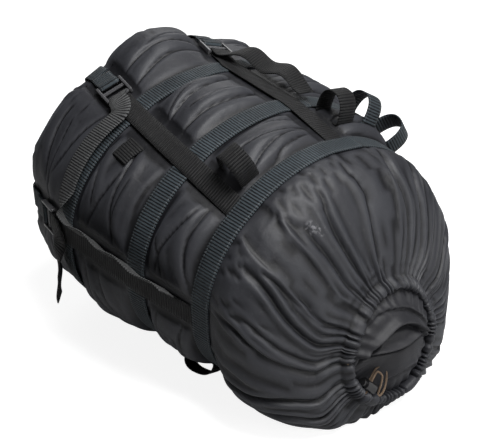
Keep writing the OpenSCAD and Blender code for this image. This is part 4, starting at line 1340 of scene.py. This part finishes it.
for i in range(len(loopPlaces)):
    look = bandWeb if i in loopLook["bandWebbed"] else strapWeb
    webbing(f"grabLoop{i + 1}", loopStations(i), look, f"loop_{i + 1}", f"grab_loop_{i + 1}", step=1.6)

# the tab lies on the puffed cloth, free at its far end
tabLook = {"panel": 1, "long": 1.5, "raised": 2.4, "lift": 1.4,
           "x": rearX + bandEdge + puffEase + webWidth / 2 + 1}


def tabStations():
    x, k, rows = tabLook["x"], tabLook["panel"], []
    for f in np.arange(0, tabLook["long"] + 0.01, 0.25):
        j = 1 if f < 1 else 2
        a, d = wallAt(x, k, j)
        b = wallAt(x, k, j + 1)[0]
        u = outDir(x, columnAngle(k, j, x))
        u = unit(u - (u @ d) * d)
        high = softGap + tabLook["raised"] + tabLook["lift"] * f
        rows.append(station(lerp(a, b, f - j + 1) + high * u, d, u))
    return rows


webbing("lashTab", tabStations(), strapWeb, "rear_band_body", "lash_tab", step=2.0)
print("loops and tab made")


cordLook = {"radius": 1.25, "lockAngle": -48, "channel": -4.0, "lockIn": 13, "inset": 0.05, "apart": 0.15,
            "pressed": 0.003}  # how far the plunger goes in, in metres
cordR = cordLook["radius"]
lockAt = sack["mouthR"] - cordLook["lockIn"]
cordIn = sack["mouthR"] - cordR - cordLook["inset"]
cordStep = cordR + cordLook["apart"]
# in from the hem, across and out of the mouth: through the lock, round two loops and back through it
cordRoute = [(cordIn, 0, 0), (lockAt, 0, 0), (lockAt - 20, 0, 0), (lockAt - 27, 6, 1.5), (lockAt - 24, 16, 3),
             (lockAt - 10, 24, 4), (lockAt, 24, 4.2), (lockAt + 3, 19, 4.2), (lockAt - 8, 15, 4.8),
             (lockAt - 17, 9, 5.5), (lockAt - 19, 3, 3.2), (lockAt - 16, 0, 2 * cordStep),
             (lockAt, 0, 2 * cordStep), (cordIn, 0, 2 * cordStep)]


def lockTurn(x, y):
    # from the cord lock's own direction into the mouth's
    t = math.radians(cordLook["lockAngle"])
    return math.cos(t) * x - math.sin(t) * y, math.sin(t) * x + math.cos(t) * y


def cordPath():
    p = np.array(cordRoute, float)
    n = len(p)
    rows = [bend(p[max(0, i - 1)], p[i], p[i + 1], p[min(n - 1, i + 2)], u)
            for i in range(n - 1) for u in np.arange(0, 1, 0.2)]
    q = np.array(rows + [p[-1]])
    return mouthPoint(*lockTurn(q[:, 0], q[:, 1]), q[:, 2] + cordLook["channel"] - cordStep)


cordPoints = cordPath()
cordCurve = bpy.data.curves.new("drawcordEnd", "CURVE")
cordCurve.dimensions = "3D"
cordCurve.bevel_depth = cordR * mm
cordCurve.bevel_resolution = 4
line = cordCurve.splines.new("POLY")
line.points.add(len(cordPoints) - 1)
for point, at in zip(line.points, cordPoints):
    point.co = (*(at * mm), 1)
drawcordEnd = addToScene("drawcordEnd", cordCurve, tanCord, "sack")
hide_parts("drawcord_loop")

cadFinish = {"drawcord": tanCord, "cord_lock_barrel": cordPlastic, "cord_lock_plunger": cordPlastic,
             "cord_lock_spring": steel}
for obj in bpy.context.scene.objects:
    node = obj.get("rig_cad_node")
    if node in cadFinish:
        obj.data.materials.clear()
        obj.data.materials.append(cadFinish[node])
    if node == "cord_lock_spring":
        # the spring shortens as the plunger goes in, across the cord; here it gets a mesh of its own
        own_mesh(obj)


studio = {
    "key": {"at": (0.6, 0.1, 1.75), "size": 0.9, "watts": 40},
    "fill": {"at": (1.9, 0.3, 0.85), "size": 0.9, "watts": 12},
    "back": {"at": (-1.5, 1.3, 1.2), "size": 1.2, "watts": 9},
    "sky": 0.05, "floor": (0.5, 0.5, 0.5), "floorGlow": 0.88, "floorHalf": 12, "floorDrop": 0.0004,
    "aim": (0, 0, 0.12),
}


def buildStudio():
    mesh = bpy.data.meshes.new("studioFloor")
    s = studio["floorHalf"]
    mesh.from_pydata([(-s, -s, 0), (s, -s, 0), (s, s, 0), (-s, s, 0)], [], [(0, 1, 2, 3)])
    material = bpy.data.materials.new("paperFloor")
    material.use_nodes = True
    floor = addToScene("studioFloor", mesh, material)
    floor.location.z = -studio["floorDrop"]
    tree = material.node_tree
    shader = tree.nodes["Principled BSDF"]
    shader.inputs["Base Color"].default_value = (*studio["floor"], 1)
    setShader(shader, rough=0.9, gloss=0.1)
    # the paper shows white to the camera without lighting the sack
    path = tree.nodes.new("ShaderNodeLightPath")
    seen = path.outputs["Is Camera Ray"]
    glow = tree.nodes.new("ShaderNodeEmission")
    glow.inputs["Color"].default_value = (1, 1, 1, 1)
    tree.links.new(mathNode(tree, "MULTIPLY", seen, studio["floorGlow"]), glow.inputs["Strength"])
    add = tree.nodes.new("ShaderNodeAddShader")
    tree.links.new(shader.outputs[0], add.inputs[0])
    tree.links.new(glow.outputs[0], add.inputs[1])
    tree.links.new(add.outputs[0], tree.nodes["Material Output"].inputs["Surface"])

    world = bpy.data.worlds.new("studio")
    bpy.context.scene.world = world
    world.use_nodes = True
    tree = world.node_tree
    sky = tree.nodes["Background"]
    sky.inputs["Color"].default_value = (1, 1, 1, 1)
    sky.inputs["Strength"].default_value = studio["sky"]
    white = tree.nodes.new("ShaderNodeBackground")
    white.inputs["Color"].default_value = (1, 1, 1, 1)
    path = tree.nodes.new("ShaderNodeLightPath")
    seen = mathNode(tree, "ADD", path.outputs["Is Camera Ray"], path.outputs["Is Transmission Ray"], clamp=True)
    mix = tree.nodes.new("ShaderNodeMixShader")
    tree.links.new(seen, mix.inputs[0])
    tree.links.new(sky.outputs[0], mix.inputs[1])
    tree.links.new(white.outputs[0], mix.inputs[2])
    tree.links.new(mix.outputs[0], tree.nodes["World Output"].inputs["Surface"])

    for name in ("key", "fill", "back"):
        look = studio[name]
        lamp = bpy.data.lights.new(name + "Lamp", "AREA")
        lamp.size, lamp.energy = look["size"], look["watts"]
        obj = addToScene(lamp.name, lamp)
        obj.location = look["at"]
        obj.rotation_euler = (Vector(studio["aim"]) - obj.location).to_track_quat("-Z", "Y").to_euler()


buildStudio()

view = {"azimuth": 48.51, "elevation": 31.33, "distance": 1.19214, "target": (-0.01523, 0.0099, 0.13759),
        "lens": 70, "sensor": 36}
camera = bpy.data.cameras.new("photoCamera")
camera.lens, camera.sensor_width = view["lens"], view["sensor"]
cameraObject = addToScene("photoCamera", camera)
az, el = math.radians(view["azimuth"]), math.radians(view["elevation"])
back = Vector((math.sin(az) * math.cos(el), -math.cos(az) * math.cos(el), math.sin(el)))
cameraObject.location = Vector(view["target"]) + back * view["distance"]
cameraObject.rotation_euler = (-back).to_track_quat("-Z", "Y").to_euler()
bpy.context.scene.camera = cameraObject
bpy.context.scene.view_settings.view_transform = "Standard"
print("studio made")
